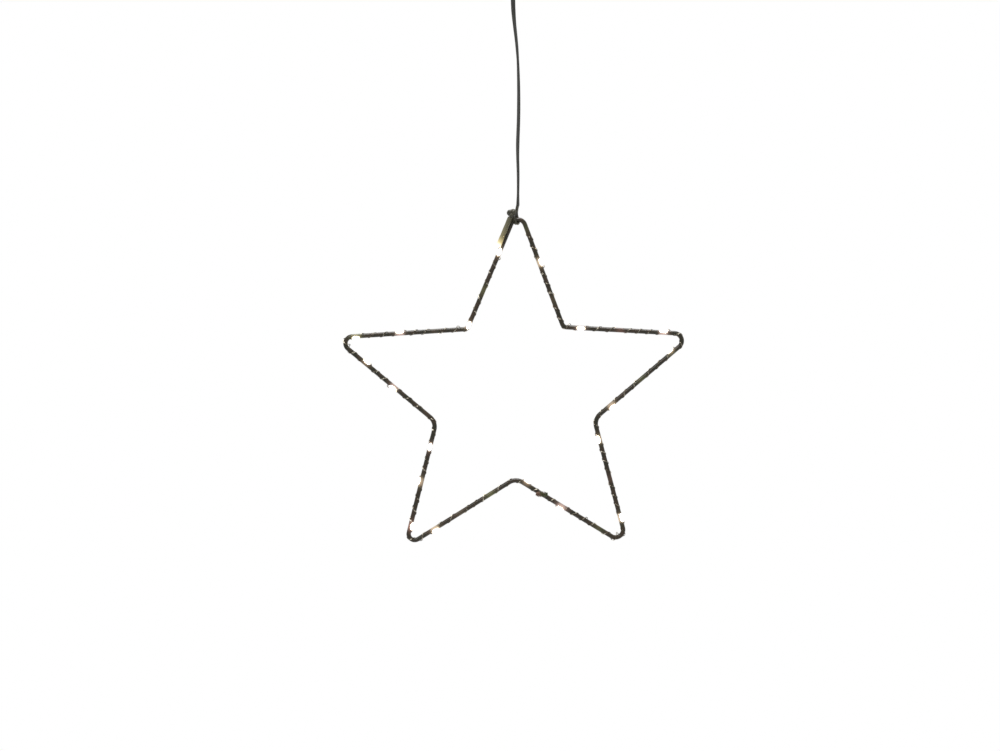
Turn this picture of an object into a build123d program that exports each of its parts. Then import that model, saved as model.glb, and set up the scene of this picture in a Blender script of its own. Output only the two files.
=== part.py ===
from build123d import *
from math import cos, pi, radians, sin, sqrt, tan
import os

# A wire star for a window, wound with a string of thirty small lights. It hangs by its own
# lead from a battery box, and the eye of the box goes on a hook.
# Millimetres, +Z up, front towards -Y. The origin is the middle of the eye's bore.

# Star frame: one wire with ten bends, counted anticlockwise from the top point
wire_radius = 1.45
wire_sides = 10
tip_reach = 133.0
notch_reach = 58.5
corner_count = 10
bend_radii = (5.2, 3.6, 4.9, 9.0, 4.3, 9.0, 5.4, 9.0, 5.4, 3.6)
star_lean = 0.4
tip_shares = (0.995, 1.009, 1.001, 1.0, 0.996)
notch_shares = (0.984, 1.019, 1.011, 0.99, 0.994)
corner_twists = (-1.15, 0.3, 0.2, 0.75, -0.35, -0.55, 0.0, 0.05, 0.3, 0.5)

# Lead: its route is given from its exit, right and up
lead_radius = 1.1
lead_sides = 6
lead_route = (
    (0.0, 0.0),
    (0.15, -13.5),
    (0.7, -28.0),
    (3.5, -51.5),
    (4.3, -75.5),
    (4.3, -99.0),
    (3.35, -122.0),
    (4.1, -142.0),
    (3.7, -161.0),
)
lead_bend_share = 0.45

# Knot of the lead on the star's top: places are right, back and up from the top of the wire
knot_rise = 9.95
knot_shift = -0.1
knot_straight = 2.4
knot_joint_gap = 0.3
loop_gap = 0.2
loop_bend = 2.2
loop_drop = 0.6
loop_left = 1.2
loop_rise = 1.2
ball_radius = 3.3
ball_sides = 10
ball_length = 5.8
ball_ends = ((0.9, 1.6), (1.0, 0.8))
ball_along = 6.0

# Sleeve over the soldered ends, beside the upper left arm
sleeve_radius = 1.95
sleeve_bore_radius = 1.6
sleeve_gap = 0.15
sleeve_side = 48.0
sleeve_length = 22.4
ball_to_sleeve = 3.1
splice_radius = 0.9
splice_to_ball = 0.05
splice_inset = 3.0

# String: a fine pair of wires, wound left-handed, modelled as one strand
strand_radius = 0.3
strand_sides = 3
strand_gap = 0.15
turn_pitch = 16.2
string_inset = 1.5

# Lights: places as shares of the wound run and sides in degrees, 0 outward, 90 front, 180 inward
drop_length = 5.0
drop_radius = 1.2
drop_ends = ((0.65, 1.3),)
drop_sides = 6
drop_gap = 0.1
sleeve_to_light = 0.7
last_light_to_end = 3.1
light_place_shares = (
    0.0, 0.036, 0.068, 0.1, 0.131, 0.169, 0.2055, 0.238, 0.272, 0.3055,
    0.336, 0.3765, 0.4115, 0.437, 0.468, 0.5025, 0.5385, 0.5765, 0.6145, 0.6485,
    0.685, 0.72, 0.7545, 0.788, 0.8235, 0.8605, 0.8945, 0.9335, 0.967, 1.0,
)
light_sides = (
    90, 280, 90, 265, 65, 120, 125, 65, 270, 90,
    10, 128, 45, 283, 282, 190, 35, 265, 65, 270,
    112, 35, 280, 150, 65, 280, 95, 270, 55, 270,
)

# Slack of the string, twisted up on the lower right arm
slack_length = 9.0
slack_radius = 1.5
slack_ends = ((0.8, 2.2),)
slack_place_share = 0.519
slack_slant = -17.0

# Battery cells
cell_radius = 7.1
cell_length = 50.2
cell_nub_radius = 2.7
cell_nub_height = 1.2
cell_gap = 1.0
cell_clearance = 0.4

# Battery box: its walls, bays, grooves and eye
box_front_wall = 1.6
box_side_wall = 2.4
box_end_wall = 1.8
box_front_corner = 4.0
box_back_corner = 2.0
box_edge = 0.8
board_bay_height = 13.0
groove_depth = 1.2
cover_lip = 1.3
cover_thickness = 1.6
cover_gap = 0.3
eye_bore_radius = 2.25
eye_wall = 2.6
eye_thickness = 3.0
eye_to_box = 6.5
eye_fillet = 1.0
cradle_height = 3.2
cradle_thickness = 1.4
cradle_inset = 9.0
overrun = 2.0

# Ridges for the thumb on the cover
ridge_count = 5
ridge_pitch = 2.4
ridge_width = 1.0
ridge_height = 0.5
ridge_length = 16.0
ridge_to_edge = 6.0
cover_edge = 0.8

# Grommet and the lead's end inside the box
grommet_radius = 4.0
grommet_neck_radius = 3.0
grommet_flange = 1.2
grommet_drop = 4.0
grommet_seat_gap = 0.05
mouth_depth = 0.6
mouth_gap = 1.5
lead_gap = 0.6
tail_rise = 2.2
tail_bend = 1.5
tail_height = 8.0

# Board, its screws, resistor and switch
board_width = 27.0
board_height = 9.0
board_thickness = 1.2
boss_radius = 2.0
boss_spread = 10.6
resistor_length = 3.2
resistor_depth = 1.6
resistor_height = 0.6
resistor_cap_length = 0.5
resistor_cap = 0.1
resistor_drop = 2.6
switch_width = 12.6
switch_height = 5.4
switch_depth = 3.0
switch_slot_gap = 0.3
knob_width = 3.6
knob_height = 3.0
knob_stand = 1.2
knob_travel = 2.0
knob_gap = 0.3
knob_flange = 0.8
knob_flange_overlap = 0.6
knob_foot_width = 2.4
knob_foot_height = 1.2
knob_foot_depth = 1.0
knob_notch_width = 0.5
knob_notch_depth = 0.35
knob_notch_pitch = 1.1
knob_notch_count = 3
knob_edge = 0.4
switch_edge = 0.5

# Contact plates with their leaf springs
plate_thickness = 0.4
plate_width = 11.0
plate_depth = 9.0
bump_radius = 1.8
bump_height = 0.5
tongue_width = 2.4
tongue_drop = 3.2
tongue_slot_gap = 0.2
leaf_width = 7.0
leaf_height = 4.2
leaf_thickness = 0.4
leaf_rest = 3.4

front = Vector(0, -1, 0)
back = Vector(0, 1, 0)
up = Vector(0, 0, 1)


def biarc(start, start_way, end, end_way):
    """Two tangent arcs from one point and heading to another, inside a BuildLine."""
    span = end - start
    ways = start_way + end_way
    spread = 2 * (1 - start_way.dot(end_way))
    along = span.dot(ways)
    reach = (sqrt(along * along + spread * span.dot(span)) - along) / spread
    first_pole = start + start_way * reach
    second_pole = end - end_way * reach
    middle = (first_pole + second_pole) / 2
    TangentArc(start, middle, tangent=start_way)
    TangentArc(middle, end, tangent=(second_pole - first_pole).normalized())


def route_radii(points):
    """One radius for each inner corner, as large as its two runs allow."""
    radii = []
    for before, here, after in zip(points, points[1:], points[2:]):
        turn = radians((here - before).get_angle(after - here))
        shorter = min((here - before).length, (after - here).length)
        radii.append(lead_bend_share * shorter / tan(turn / 2))
    return radii


def block(low, high, mode=Mode.ADD):
    """A block between two opposite corners, in the part being built."""
    size = Vector(*high) - Vector(*low)
    with Locations(low):
        Box(*size, align=(Align.MIN, Align.MIN, Align.MIN), mode=mode)


def bead(middle, ahead, outward, radius, sides, length, ends):
    """A faceted bead along a line, drawn in at both ends by steps of an inset and a length."""
    with BuildPart() as lump:
        with BuildSketch(Plane(origin=middle - ahead * length / 2, x_dir=outward, z_dir=ahead)):
            RegularPolygon(radius, sides)
        extrude(amount=length)
        for inset, end_length in ends:
            for cap in lump.faces().filter_by(Axis(middle, ahead)):
                chamfer(cap.edges(), length=inset, length2=end_length, reference=cap)
    return lump.part


def finish(part, name):
    """Label a finished piece and write it under its own name."""
    part.label = name
    export_step(part, f"parts/{name}.step")


os.makedirs("parts", exist_ok=True)

# Places of the battery box, worked out from the cells
bay_width = 4 * cell_radius + cell_gap + 2 * cell_clearance
bay_depth = 2 * cell_radius + 2 * cell_clearance
bay_height = 2 * plate_thickness + bump_height + cell_length + leaf_height
cover_space = cover_thickness + 2 * cover_gap
box_width = bay_width + 2 * box_side_wall
box_depth = box_front_wall + bay_depth + cover_space + cover_lip
box_height = bay_height + board_bay_height + 3 * box_end_wall
box_front = -box_depth / 2
box_back = box_depth / 2
bay_front = box_front + box_front_wall
bay_back = bay_front + bay_depth
box_top = -eye_to_box
box_bottom = box_top - box_height
bay_top = box_top - box_end_wall
bay_bottom = bay_top - bay_height
board_bay_top = bay_bottom - box_end_wall
board_bay_bottom = box_bottom + box_end_wall
board_middle = (board_bay_top + board_bay_bottom) / 2
cell_x = cell_radius + cell_gap / 2
cell_y = bay_front + bay_depth / 2
grommet_mouth = box_bottom - grommet_drop
lead_exit = Vector(0, 0, grommet_mouth + mouth_depth)
switch_front = bay_front + knob_flange + 2 * knob_gap
board_front = switch_front + switch_depth
board_back = board_front + board_thickness

# Places of the star, which hangs under the lead's end
lead_points = [lead_exit + Vector(x, 0, z) for x, z in lead_route]
lead_end = lead_points[-1]


def corner_offset(k):
    """Sharp corner k from the star's middle, tips at even numbers and notches at odd ones."""
    turn = radians(star_lean + 360 / corner_count * k + corner_twists[k])
    if k % 2 == 0:
        reach = tip_reach * tip_shares[k // 2]
    else:
        reach = notch_reach * notch_shares[k // 2]
    return Vector(-reach * sin(turn), 0, reach * cos(turn))


left_way = (corner_offset(1) - corner_offset(0)).normalized()
right_way = (corner_offset(corner_count - 1) - corner_offset(0)).normalized()
half_tip = radians(left_way.get_angle(right_way) / 2)
top_radius = bend_radii[0]
bend_set_back = top_radius / tan(half_tip)
bend_middle = corner_offset(0) + (left_way + right_way).normalized() * top_radius / sin(half_tip)
apex = lead_end - Vector(knot_shift, 0, knot_rise)
star_middle = apex - bend_middle - up * top_radius
corners = [star_middle + corner_offset(k) for k in range(corner_count)]

# Star frame
with BuildPart() as star_frame:
    with BuildLine() as frame_line:
        FilletPolyline(*corners, radius=bend_radii, close=True)
    with BuildSketch(Plane(origin=frame_line.line @ 0, x_dir=front, z_dir=frame_line.line % 0)):
        RegularPolygon(wire_radius, wire_sides)
    sweep(clean=False)
finish(star_frame.part, "star_frame")

# The line that the string follows, along the wire's middle from one side of the top to the other
with BuildLine() as string_line:
    FilletPolyline(
        corners[0] + left_way * bend_set_back,
        *corners[1:],
        corners[0] + right_way * bend_set_back,
        radius=bend_radii[1:],
    )
string_path = string_line.wire()
string_path_length = string_path.length


def beside_wire(along, side, reach):
    """A point at a distance along the frame, on a side of its wire, that far from its middle."""
    place = string_path.position_at(along, position_mode=PositionMode.LENGTH)
    ahead = string_path.tangent_at(along, position_mode=PositionMode.LENGTH)
    outward = back.cross(ahead)
    return place + (outward * cos(radians(side)) + front * sin(radians(side))) * reach


# Sleeve, its splice and the knot's ball share one straight line beside the upper left arm
sleeve_reach = wire_radius + sleeve_radius + sleeve_gap
sleeve_outward = back.cross(left_way)
sleeve_offset = (
    sleeve_outward * cos(radians(sleeve_side)) + front * sin(radians(sleeve_side))
) * sleeve_reach
ball_middle = corners[0] + left_way * ball_along + sleeve_offset
sleeve_top = ball_middle + left_way * ball_to_sleeve
sleeve_bottom = sleeve_top + left_way * sleeve_length
sleeve_plane = Plane(origin=sleeve_top, x_dir=front, z_dir=left_way)

with BuildPart() as splice_sleeve:
    with BuildSketch(sleeve_plane):
        Circle(sleeve_radius)
        Circle(sleeve_bore_radius, mode=Mode.SUBTRACT)
    extrude(amount=sleeve_length)
finish(splice_sleeve.part, "splice_sleeve")

splice_top = ball_middle + left_way * (ball_radius + splice_to_ball)
splice_length = (sleeve_bottom - splice_top).length - splice_inset
with BuildPart() as solder_splice:
    with BuildSketch(Plane(origin=splice_top, x_dir=front, z_dir=left_way)):
        Circle(splice_radius)
    extrude(amount=splice_length)
finish(solder_splice.part, "solder_splice")
splice_bottom = splice_top + left_way * splice_length

# Knot of the lead: down behind the wire, round under it and up its front into the ball
loop_reach = wire_radius + lead_radius + loop_gap
loop_low = apex.Z - loop_reach - loop_drop
loop_x = apex.X - loop_left
knot_top = lead_end - up * knot_joint_gap
knot_route = [
    knot_top,
    knot_top - up * knot_straight,
    Vector(lead_end.X - loop_left / 2, loop_reach, apex.Z + loop_rise),
    Vector(loop_x, loop_reach, loop_low),
    Vector(loop_x, -loop_reach, loop_low),
    Vector(loop_x, -loop_reach, apex.Z + loop_rise),
    ball_middle,
]
knot_radii = [min(radius, loop_bend) for radius in route_radii(knot_route)]
knot_ball = bead(ball_middle, left_way, front, ball_radius, ball_sides, ball_length, ball_ends)
with BuildPart() as lead_knot:
    with BuildLine() as knot_line:
        FilletPolyline(*knot_route, radius=knot_radii)
    with BuildSketch(Plane(origin=knot_top, x_dir=front, z_dir=(0, 0, -1))):
        RegularPolygon(lead_radius, lead_sides)
    sweep(path=knot_line.line, clean=False)
    add(knot_ball)
finish(lead_knot.part, "lead_knot")
print("knot radii", [round(radius, 2) for radius in knot_radii])

# Lead between the box and the knot
lead_radii = route_radii(lead_points)
with BuildPart() as hang_lead:
    with BuildLine() as lead_line:
        FilletPolyline(*lead_points, radius=lead_radii)
    with BuildSketch(Plane(origin=lead_line.line @ 0, x_dir=front, z_dir=lead_line.line % 0)):
        RegularPolygon(lead_radius, lead_sides)
    sweep(clean=False)
finish(hang_lead.part, "hang_lead")
lead_length = lead_line.wire().length
print("lead radii", [round(radius) for radius in lead_radii], "length", round(lead_length, 1))
print(
    "lead volume",
    round(hang_lead.part.volume, 1),
    "section times length",
    round(lead_sides / 2 * lead_radius**2 * sin(2 * pi / lead_sides) * lead_length, 1),
)

# Lights: distance along the wire and the turn of the spiral at each, counted in degrees
sleeve_end_along = ball_along + ball_to_sleeve + sleeve_length - bend_set_back
first_light_along = sleeve_end_along + sleeve_to_light + drop_length / 2
wound_length = string_path_length - first_light_along - last_light_to_end
lights = [(first_light_along, float(light_sides[0]))]
for share, side in zip(light_place_shares[1:], light_sides[1:]):
    along = first_light_along + share * wound_length
    part_turn = (side - lights[-1][1]) % 360 / 360
    whole_turns = round((along - lights[-1][0]) / turn_pitch - part_turn)
    lights.append((along, lights[-1][1] + 360 * (whole_turns + part_turn)))


def along_at(phase):
    """Distance along the wire where the spiral has turned that far."""
    for (here, turned), (ahead, next_turned) in zip(lights, lights[1:]):
        if phase <= next_turned:
            return here + (ahead - here) * (phase - turned) / (next_turned - turned)
    return lights[-1][0]


# String: from the sleeve's splice round the whole star to the last light
strand_reach = wire_radius + strand_radius + strand_gap
phase_step = 1.0
quarter_turns = round((lights[-1][1] - lights[0][1]) / 90)
spiral_step = (lights[-1][1] - lights[0][1]) / quarter_turns


def spiral_point(phase):
    """A point of the spiral's line."""
    return beside_wire(along_at(phase), phase, strand_reach)


def spiral_way(phase):
    """Heading of the spiral's line."""
    low = max(phase - phase_step, lights[0][1])
    high = min(phase + phase_step, lights[-1][1])
    return (spiral_point(high) - spiral_point(low)).normalized()


string_start = splice_bottom
straight_end = sleeve_bottom - left_way * string_inset
with BuildPart() as led_string:
    with BuildLine() as strand_line:
        Line(string_start, straight_end)
        place, way = straight_end, left_way
        for step in range(quarter_turns + 1):
            phase = lights[0][1] + spiral_step * step
            next_place, next_way = spiral_point(phase), spiral_way(phase)
            biarc(place, way, next_place, next_way)
            place, way = next_place, next_way
        Line(place, place + way * 2 * strand_radius)
    with BuildSketch(Plane(origin=string_start, z_dir=left_way)):
        RegularPolygon(strand_radius, strand_sides)
    sweep(clean=False)
finish(led_string.part, "led_string")
print("turns", quarter_turns / 4, "string length", round(strand_line.wire().length, 1))

# Least gap of the string to itself, between points at least a quarter turn apart
strand_places, strand_run = [], 0
for arc in strand_line.edges():
    for part_share in (0, 0.5):
        strand_places.append((strand_run + arc.length * part_share, *(arc @ part_share)))
    strand_run += arc.length
least_between = min(
    sqrt((x - u) ** 2 + (y - v) ** 2 + (z - w) ** 2)
    for index, (here, x, y, z) in enumerate(strand_places)
    for there, u, v, w in strand_places[index:]
    if there - here > turn_pitch / 4
)
print("string's least gap to itself", round(least_between - 2 * strand_radius, 2))

# Drops: a faceted bead over each light, its length along the arm
drop_reach = wire_radius + drop_gap + drop_radius
for number, (along, phase) in enumerate(lights, 1):
    middle = beside_wire(along, phase, drop_reach)
    ahead = string_path.tangent_at(along, position_mode=PositionMode.LENGTH)
    outward = (middle - beside_wire(along, phase, 0)).normalized()
    led_drop = bead(middle, ahead, outward, drop_radius, drop_sides, drop_length, drop_ends)
    finish(led_drop, f"led_drop_{number:02d}")

# Slack of the string: a crossed twist of it over the front of the lower right arm
slack_along = first_light_along + slack_place_share * wound_length
slack_middle = beside_wire(slack_along, 90, wire_radius + strand_gap + slack_radius)
slack_ahead = string_path.tangent_at(slack_along, position_mode=PositionMode.LENGTH)
slack_way = slack_ahead.rotate(Axis.Y, slack_slant)
slack_knot = bead(
    slack_middle, slack_way, front, slack_radius, drop_sides, slack_length, slack_ends
)
finish(slack_knot, "slack_knot")

# Battery box: a tray open at the back, with two bays, grooves for the cover and the eye on top
slot_width = knob_width + 2 * knob_travel + 2 * knob_gap
slot_height = knob_height + 2 * knob_gap
tongue_back = cell_y + plate_depth / 2
with BuildPart() as battery_box:
    with BuildSketch(Plane.XY.offset(box_bottom)):
        outline = Rectangle(box_width, box_depth)
        fillet(outline.vertices().group_by(Axis.Y)[0], box_front_corner)
        fillet(outline.vertices().group_by(Axis.Y)[-1], box_back_corner)
    extrude(amount=box_height)
    chamfer(battery_box.edges().group_by(Axis.Z)[0], box_edge)
    chamfer(battery_box.edges().group_by(Axis.Z)[-1], box_edge)
    # Bays for the cells and the board, open at the back
    for low, high in ((bay_bottom, bay_top), (board_bay_bottom, board_bay_top)):
        block(
            (-bay_width / 2, bay_front, low),
            (bay_width / 2, box_back + overrun, high),
            Mode.SUBTRACT,
        )
    # Way of the cover through the top wall, and its grooves in the side walls
    block(
        (-bay_width / 2, bay_back, board_bay_bottom),
        (bay_width / 2, box_back + overrun, box_top + overrun),
        Mode.SUBTRACT,
    )
    groove_x = bay_width / 2 + groove_depth
    block(
        (-groove_x, bay_back, board_bay_bottom),
        (groove_x, bay_back + cover_space, box_top + overrun),
        Mode.SUBTRACT,
    )
    # Cradles under the cells
    for height in (bay_bottom + cradle_inset, bay_top - cradle_inset - cradle_thickness):
        with BuildSketch(Plane.XY.offset(height)):
            with Locations((0, bay_front + cradle_height / 2)):
                Rectangle(bay_width, cradle_height)
            with Locations((-cell_x, cell_y), (cell_x, cell_y)):
                Circle(cell_radius + cell_clearance / 2, mode=Mode.SUBTRACT)
        extrude(amount=cradle_thickness)
    # Bosses that carry the board
    with BuildSketch(Plane.XZ.offset(-bay_front)):
        with Locations((-boss_spread, board_middle), (boss_spread, board_middle)):
            Circle(boss_radius)
    extrude(amount=-(board_front - bay_front))
    # Eye on top
    with BuildSketch(Plane.XZ.offset(-eye_thickness / 2)):
        Circle(eye_bore_radius + eye_wall)
        with Locations((0, -eye_to_box / 2)):
            Rectangle(2 * (eye_bore_radius + eye_wall), eye_to_box)
    extrude(amount=eye_thickness)
    top_edges = battery_box.edges().filter_by_position(Axis.Z, box_top, box_top)
    eye_foot = top_edges.filter_by(lambda edge: edge.center().length < eye_to_box + eye_wall)
    fillet(eye_foot, eye_fillet)
    with BuildSketch(Plane.XZ.offset(-eye_thickness)):
        Circle(eye_bore_radius)
    extrude(amount=2 * eye_thickness, mode=Mode.SUBTRACT)
    # Window of the switch's knob in the front wall
    block(
        (-slot_width / 2, box_front - overrun, board_middle - slot_height / 2),
        (slot_width / 2, bay_front, board_middle + slot_height / 2),
        Mode.SUBTRACT,
    )
    # Hole of the grommet in the floor
    with BuildSketch(Plane.XY.offset(box_bottom)):
        Circle(grommet_neck_radius + grommet_seat_gap)
    extrude(amount=box_end_wall, mode=Mode.SUBTRACT)
    # Slots for the contacts' tongues through the partition
    slot_reach = tongue_width / 2 + tongue_slot_gap
    for x in (-cell_x, cell_x):
        block(
            (x - slot_reach, tongue_back - plate_thickness - tongue_slot_gap, board_bay_top),
            (x + slot_reach, tongue_back + tongue_slot_gap, bay_bottom),
            Mode.SUBTRACT,
        )
finish(battery_box.part, "battery_box")

# Cover: a plate in the grooves with a panel that closes the back flush, and thumb ridges
cover_bottom = board_bay_bottom + cover_gap
plate_y = bay_back + cover_gap
plate_x = groove_x - cover_gap
panel_x = bay_width / 2 - cover_gap
with BuildPart() as battery_cover:
    block((-plate_x, plate_y, cover_bottom), (plate_x, plate_y + cover_thickness, box_top))
    block((-panel_x, plate_y, cover_bottom), (panel_x, box_back, box_top))
    outer_face = battery_cover.faces().sort_by(Axis.Y)[-1]
    chamfer(outer_face.edges().sort_by(Axis.Z)[-1], cover_edge)
    ridges_middle = box_top - ridge_to_edge - ridge_pitch * (ridge_count - 1) / 2
    with BuildSketch(Plane.XZ.offset(-box_back)):
        with Locations((0, ridges_middle)):
            with GridLocations(ridge_length, ridge_pitch, 1, ridge_count):
                Rectangle(ridge_length, ridge_width)
    extrude(amount=-ridge_height)
finish(battery_cover.part, "battery_cover")

# Cells: the left one stands with its nub up, the right one with its nub down
cell_ends = (
    ("cell_left", -cell_x, bay_bottom + plate_thickness + leaf_height, 1),
    ("cell_right", cell_x, bay_top - plate_thickness - leaf_height, -1),
)
for name, x, flat_end, turned_up in cell_ends:
    with BuildPart() as cell:
        with BuildSketch(Plane.XY.offset(flat_end)):
            with Locations((x, cell_y)):
                Circle(cell_radius)
        extrude(amount=turned_up * (cell_length - cell_nub_height))
        with BuildSketch(Plane.XY.offset(flat_end)):
            with Locations((x, cell_y)):
                Circle(cell_nub_radius)
        extrude(amount=turned_up * cell_length)
    finish(cell.part, name)

# Contact plates: bumps meet the nubs, leaves press the flat ends, tongues reach the board
def leaf(x, plate_face, upward):
    """A bent leaf from a contact plate to the flat end of a cell."""
    pressed = plate_face + upward * leaf_height
    crown = pressed - upward * leaf_thickness
    foot_x = leaf_width / 2
    crown_x = leaf_rest / 2
    with BuildPart() as strip:
        with BuildSketch(Plane.XZ.offset(-cell_y - leaf_width / 2)):
            with BuildLine():
                Polyline(
                    (x - foot_x - leaf_thickness, plate_face),
                    (x - crown_x - leaf_thickness, pressed),
                    (x + crown_x, pressed),
                    (x + crown_x, crown),
                    (x - crown_x, crown),
                    (x - foot_x, plate_face),
                    close=True,
                )
            make_face()
        extrude(amount=leaf_width)
    return strip.part


link_leaf = leaf(cell_x, bay_top - plate_thickness, -1)
minus_leaf = leaf(-cell_x, bay_bottom + plate_thickness, 1)
with BuildPart() as link_contact:
    with BuildSketch(Plane.XY.offset(bay_top - plate_thickness)):
        with Locations((0, cell_y)):
            Rectangle(2 * cell_x + plate_width, plate_depth)
    extrude(amount=plate_thickness)
    with BuildSketch(Plane.XY.offset(bay_top - plate_thickness)):
        with Locations((-cell_x, cell_y)):
            Circle(bump_radius)
    extrude(amount=-bump_height)
    add(link_leaf)
finish(link_contact.part, "link_contact")

for name, x in (("minus_contact", -cell_x), ("plus_contact", cell_x)):
    with BuildPart() as contact:
        with BuildSketch(Plane.XY.offset(bay_bottom)):
            with Locations((x, cell_y)):
                Rectangle(plate_width, plate_depth)
        extrude(amount=plate_thickness)
        if name == "plus_contact":
            with BuildSketch(Plane.XY.offset(bay_bottom + plate_thickness)):
                with Locations((x, cell_y)):
                    Circle(bump_radius)
            extrude(amount=bump_height)
        else:
            add(minus_leaf)
        block(
            (x - tongue_width / 2, tongue_back - plate_thickness, board_bay_top - tongue_drop),
            (x + tongue_width / 2, tongue_back, bay_bottom),
        )
        block(
            (x - tongue_width / 2, board_back, board_bay_top - tongue_drop),
            (x + tongue_width / 2, tongue_back, board_bay_top - tongue_drop + plate_thickness),
        )
    finish(contact.part, name)

# Switch: its body stands before the board, and the knob slides across the window
with BuildPart() as switch_body:
    block(
        (-switch_width / 2, switch_front, board_middle - switch_height / 2),
        (switch_width / 2, board_front, board_middle + switch_height / 2),
    )
    foot_room = knob_foot_width / 2 + knob_travel + switch_slot_gap
    block(
        (-foot_room, switch_front, board_middle - knob_foot_height / 2 - switch_slot_gap),
        (
            foot_room,
            switch_front + knob_foot_depth + switch_slot_gap,
            board_middle + knob_foot_height / 2 + switch_slot_gap,
        ),
        Mode.SUBTRACT,
    )
    upright = switch_body.edges().filter_by(Axis.Y).group_by(Axis.X)
    chamfer(upright[0] + upright[-1], switch_edge)
finish(switch_body.part, "switch_body")

knob_x = -knob_travel
flange_x = knob_width / 2 + knob_gap + knob_flange_overlap
flange_z = knob_height / 2 + knob_gap + knob_flange_overlap
with BuildPart() as switch_knob:
    block(
        (knob_x - knob_width / 2, box_front - knob_stand, board_middle - knob_height / 2),
        (knob_x + knob_width / 2, bay_front + knob_gap, board_middle + knob_height / 2),
    )
    outer_face = switch_knob.faces().sort_by(Axis.Y)[0]
    chamfer(outer_face.edges(), knob_edge)
    block(
        (knob_x - flange_x, bay_front + knob_gap, board_middle - flange_z),
        (knob_x + flange_x, bay_front + knob_gap + knob_flange, board_middle + flange_z),
    )
    block(
        (knob_x - knob_foot_width / 2, bay_front + knob_gap, board_middle - knob_foot_height / 2),
        (
            knob_x + knob_foot_width / 2,
            switch_front + knob_foot_depth,
            board_middle + knob_foot_height / 2,
        ),
    )
    with BuildSketch(Plane.XZ.offset(knob_stand - box_front)):
        with Locations((knob_x, board_middle)):
            with GridLocations(knob_notch_pitch, knob_height, knob_notch_count, 1):
                Rectangle(knob_notch_width, knob_height)
    extrude(amount=-knob_notch_depth, mode=Mode.SUBTRACT)
finish(switch_knob.part, "switch_knob")

# Board on its bosses, and its resistor
with BuildPart() as circuit_board:
    with BuildSketch(Plane.XZ.offset(-board_back)):
        with Locations((0, board_middle)):
            Rectangle(board_width, board_height)
    extrude(amount=board_thickness)
finish(circuit_board.part, "circuit_board")

resistor_z = board_middle - resistor_drop
with BuildPart() as resistor:
    block(
        (-resistor_length / 2, board_back, resistor_z - resistor_depth / 2),
        (resistor_length / 2, board_back + resistor_height, resistor_z + resistor_depth / 2),
    )
    for low in (-resistor_length / 2, resistor_length / 2 - resistor_cap_length):
        block(
            (low, board_back, resistor_z - resistor_depth / 2 - resistor_cap),
            (
                low + resistor_cap_length,
                board_back + resistor_height + resistor_cap,
                resistor_z + resistor_depth / 2 + resistor_cap,
            ),
        )
finish(resistor.part, "resistor")

# Grommet in the floor, with its mouth opened out for the swinging lead
lead_room = lead_radius + lead_gap
mouth_radius = lead_radius + mouth_gap
tail_start = lead_exit.Z + tail_rise
with BuildPart() as lead_grommet:
    with BuildSketch(Plane.XZ):
        with BuildLine():
            Polyline(
                (lead_radius + grommet_seat_gap, board_bay_bottom + grommet_flange),
                (grommet_radius, board_bay_bottom + grommet_flange),
                (grommet_radius, board_bay_bottom),
                (grommet_neck_radius, board_bay_bottom),
                (grommet_neck_radius, box_bottom),
                (grommet_radius, box_bottom),
                (grommet_radius, grommet_mouth),
                (mouth_radius, grommet_mouth),
                (lead_room, lead_exit.Z),
                (lead_room, tail_start),
                (lead_radius + grommet_seat_gap, tail_start),
                close=True,
            )
        make_face()
    revolve(axis=Axis.Z)
finish(lead_grommet.part, "lead_grommet")

# End of the lead inside the box, bent over to the board
with BuildPart() as lead_tail:
    with BuildLine() as tail_line:
        FilletPolyline(
            (0, 0, tail_start),
            (0, 0, board_bay_bottom + tail_height),
            (0, board_back, board_bay_bottom + tail_height),
            radius=tail_bend,
        )
    with BuildSketch(Plane(origin=(0, 0, tail_start), x_dir=front, z_dir=up)):
        RegularPolygon(lead_radius, lead_sides)
    sweep(path=tail_line.line, clean=False)
finish(lead_tail.part, "lead_tail")
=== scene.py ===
# %% [markdown]
# A wire star with thirty small lights, hung by its own lead from a battery box.
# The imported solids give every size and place. Blender gives the looks: the fine pair of wires
# wound round the star, the drops of resin over the lights, the flat lead with its twist, and
# the finish of each surface. The model is loaded first, because nothing here may move it.

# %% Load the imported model
import random
from math import acos, cos, pi, radians, sin, tan

import bmesh
import bpy
import numpy as np
from mathutils import Matrix, Vector


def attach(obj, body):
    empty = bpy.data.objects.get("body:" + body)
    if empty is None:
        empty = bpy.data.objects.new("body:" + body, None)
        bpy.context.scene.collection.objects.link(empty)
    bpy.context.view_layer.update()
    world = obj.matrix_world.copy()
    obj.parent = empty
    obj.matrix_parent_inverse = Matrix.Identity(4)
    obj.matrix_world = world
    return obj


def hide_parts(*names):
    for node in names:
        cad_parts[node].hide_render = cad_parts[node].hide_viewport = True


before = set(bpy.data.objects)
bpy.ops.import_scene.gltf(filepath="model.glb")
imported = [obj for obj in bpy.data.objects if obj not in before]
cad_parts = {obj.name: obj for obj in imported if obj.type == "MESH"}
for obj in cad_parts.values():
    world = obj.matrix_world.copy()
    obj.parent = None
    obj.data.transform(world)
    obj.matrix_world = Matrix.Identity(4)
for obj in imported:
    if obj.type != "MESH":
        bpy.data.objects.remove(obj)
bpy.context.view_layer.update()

MM = 0.001
UP, FRONT, BACK, RIGHT = (Vector(way) for way in ((0, 0, 1), (0, -1, 0), (0, 1, 0), (1, 0, 0)))
scene = bpy.context.scene

# %% [markdown]
# A few helpers do what every piece needs: put an object in the scene, read the mesh that its
# modifiers leave, store a value for each point, and join rows of points into a closed skin.

# %% Helpers for objects and meshes
def linked(name, data):
    """A new object in the scene, whose data take its name."""
    data.name = name
    made = bpy.data.objects.new(name, data)
    scene.collection.objects.link(made)
    return made


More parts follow.
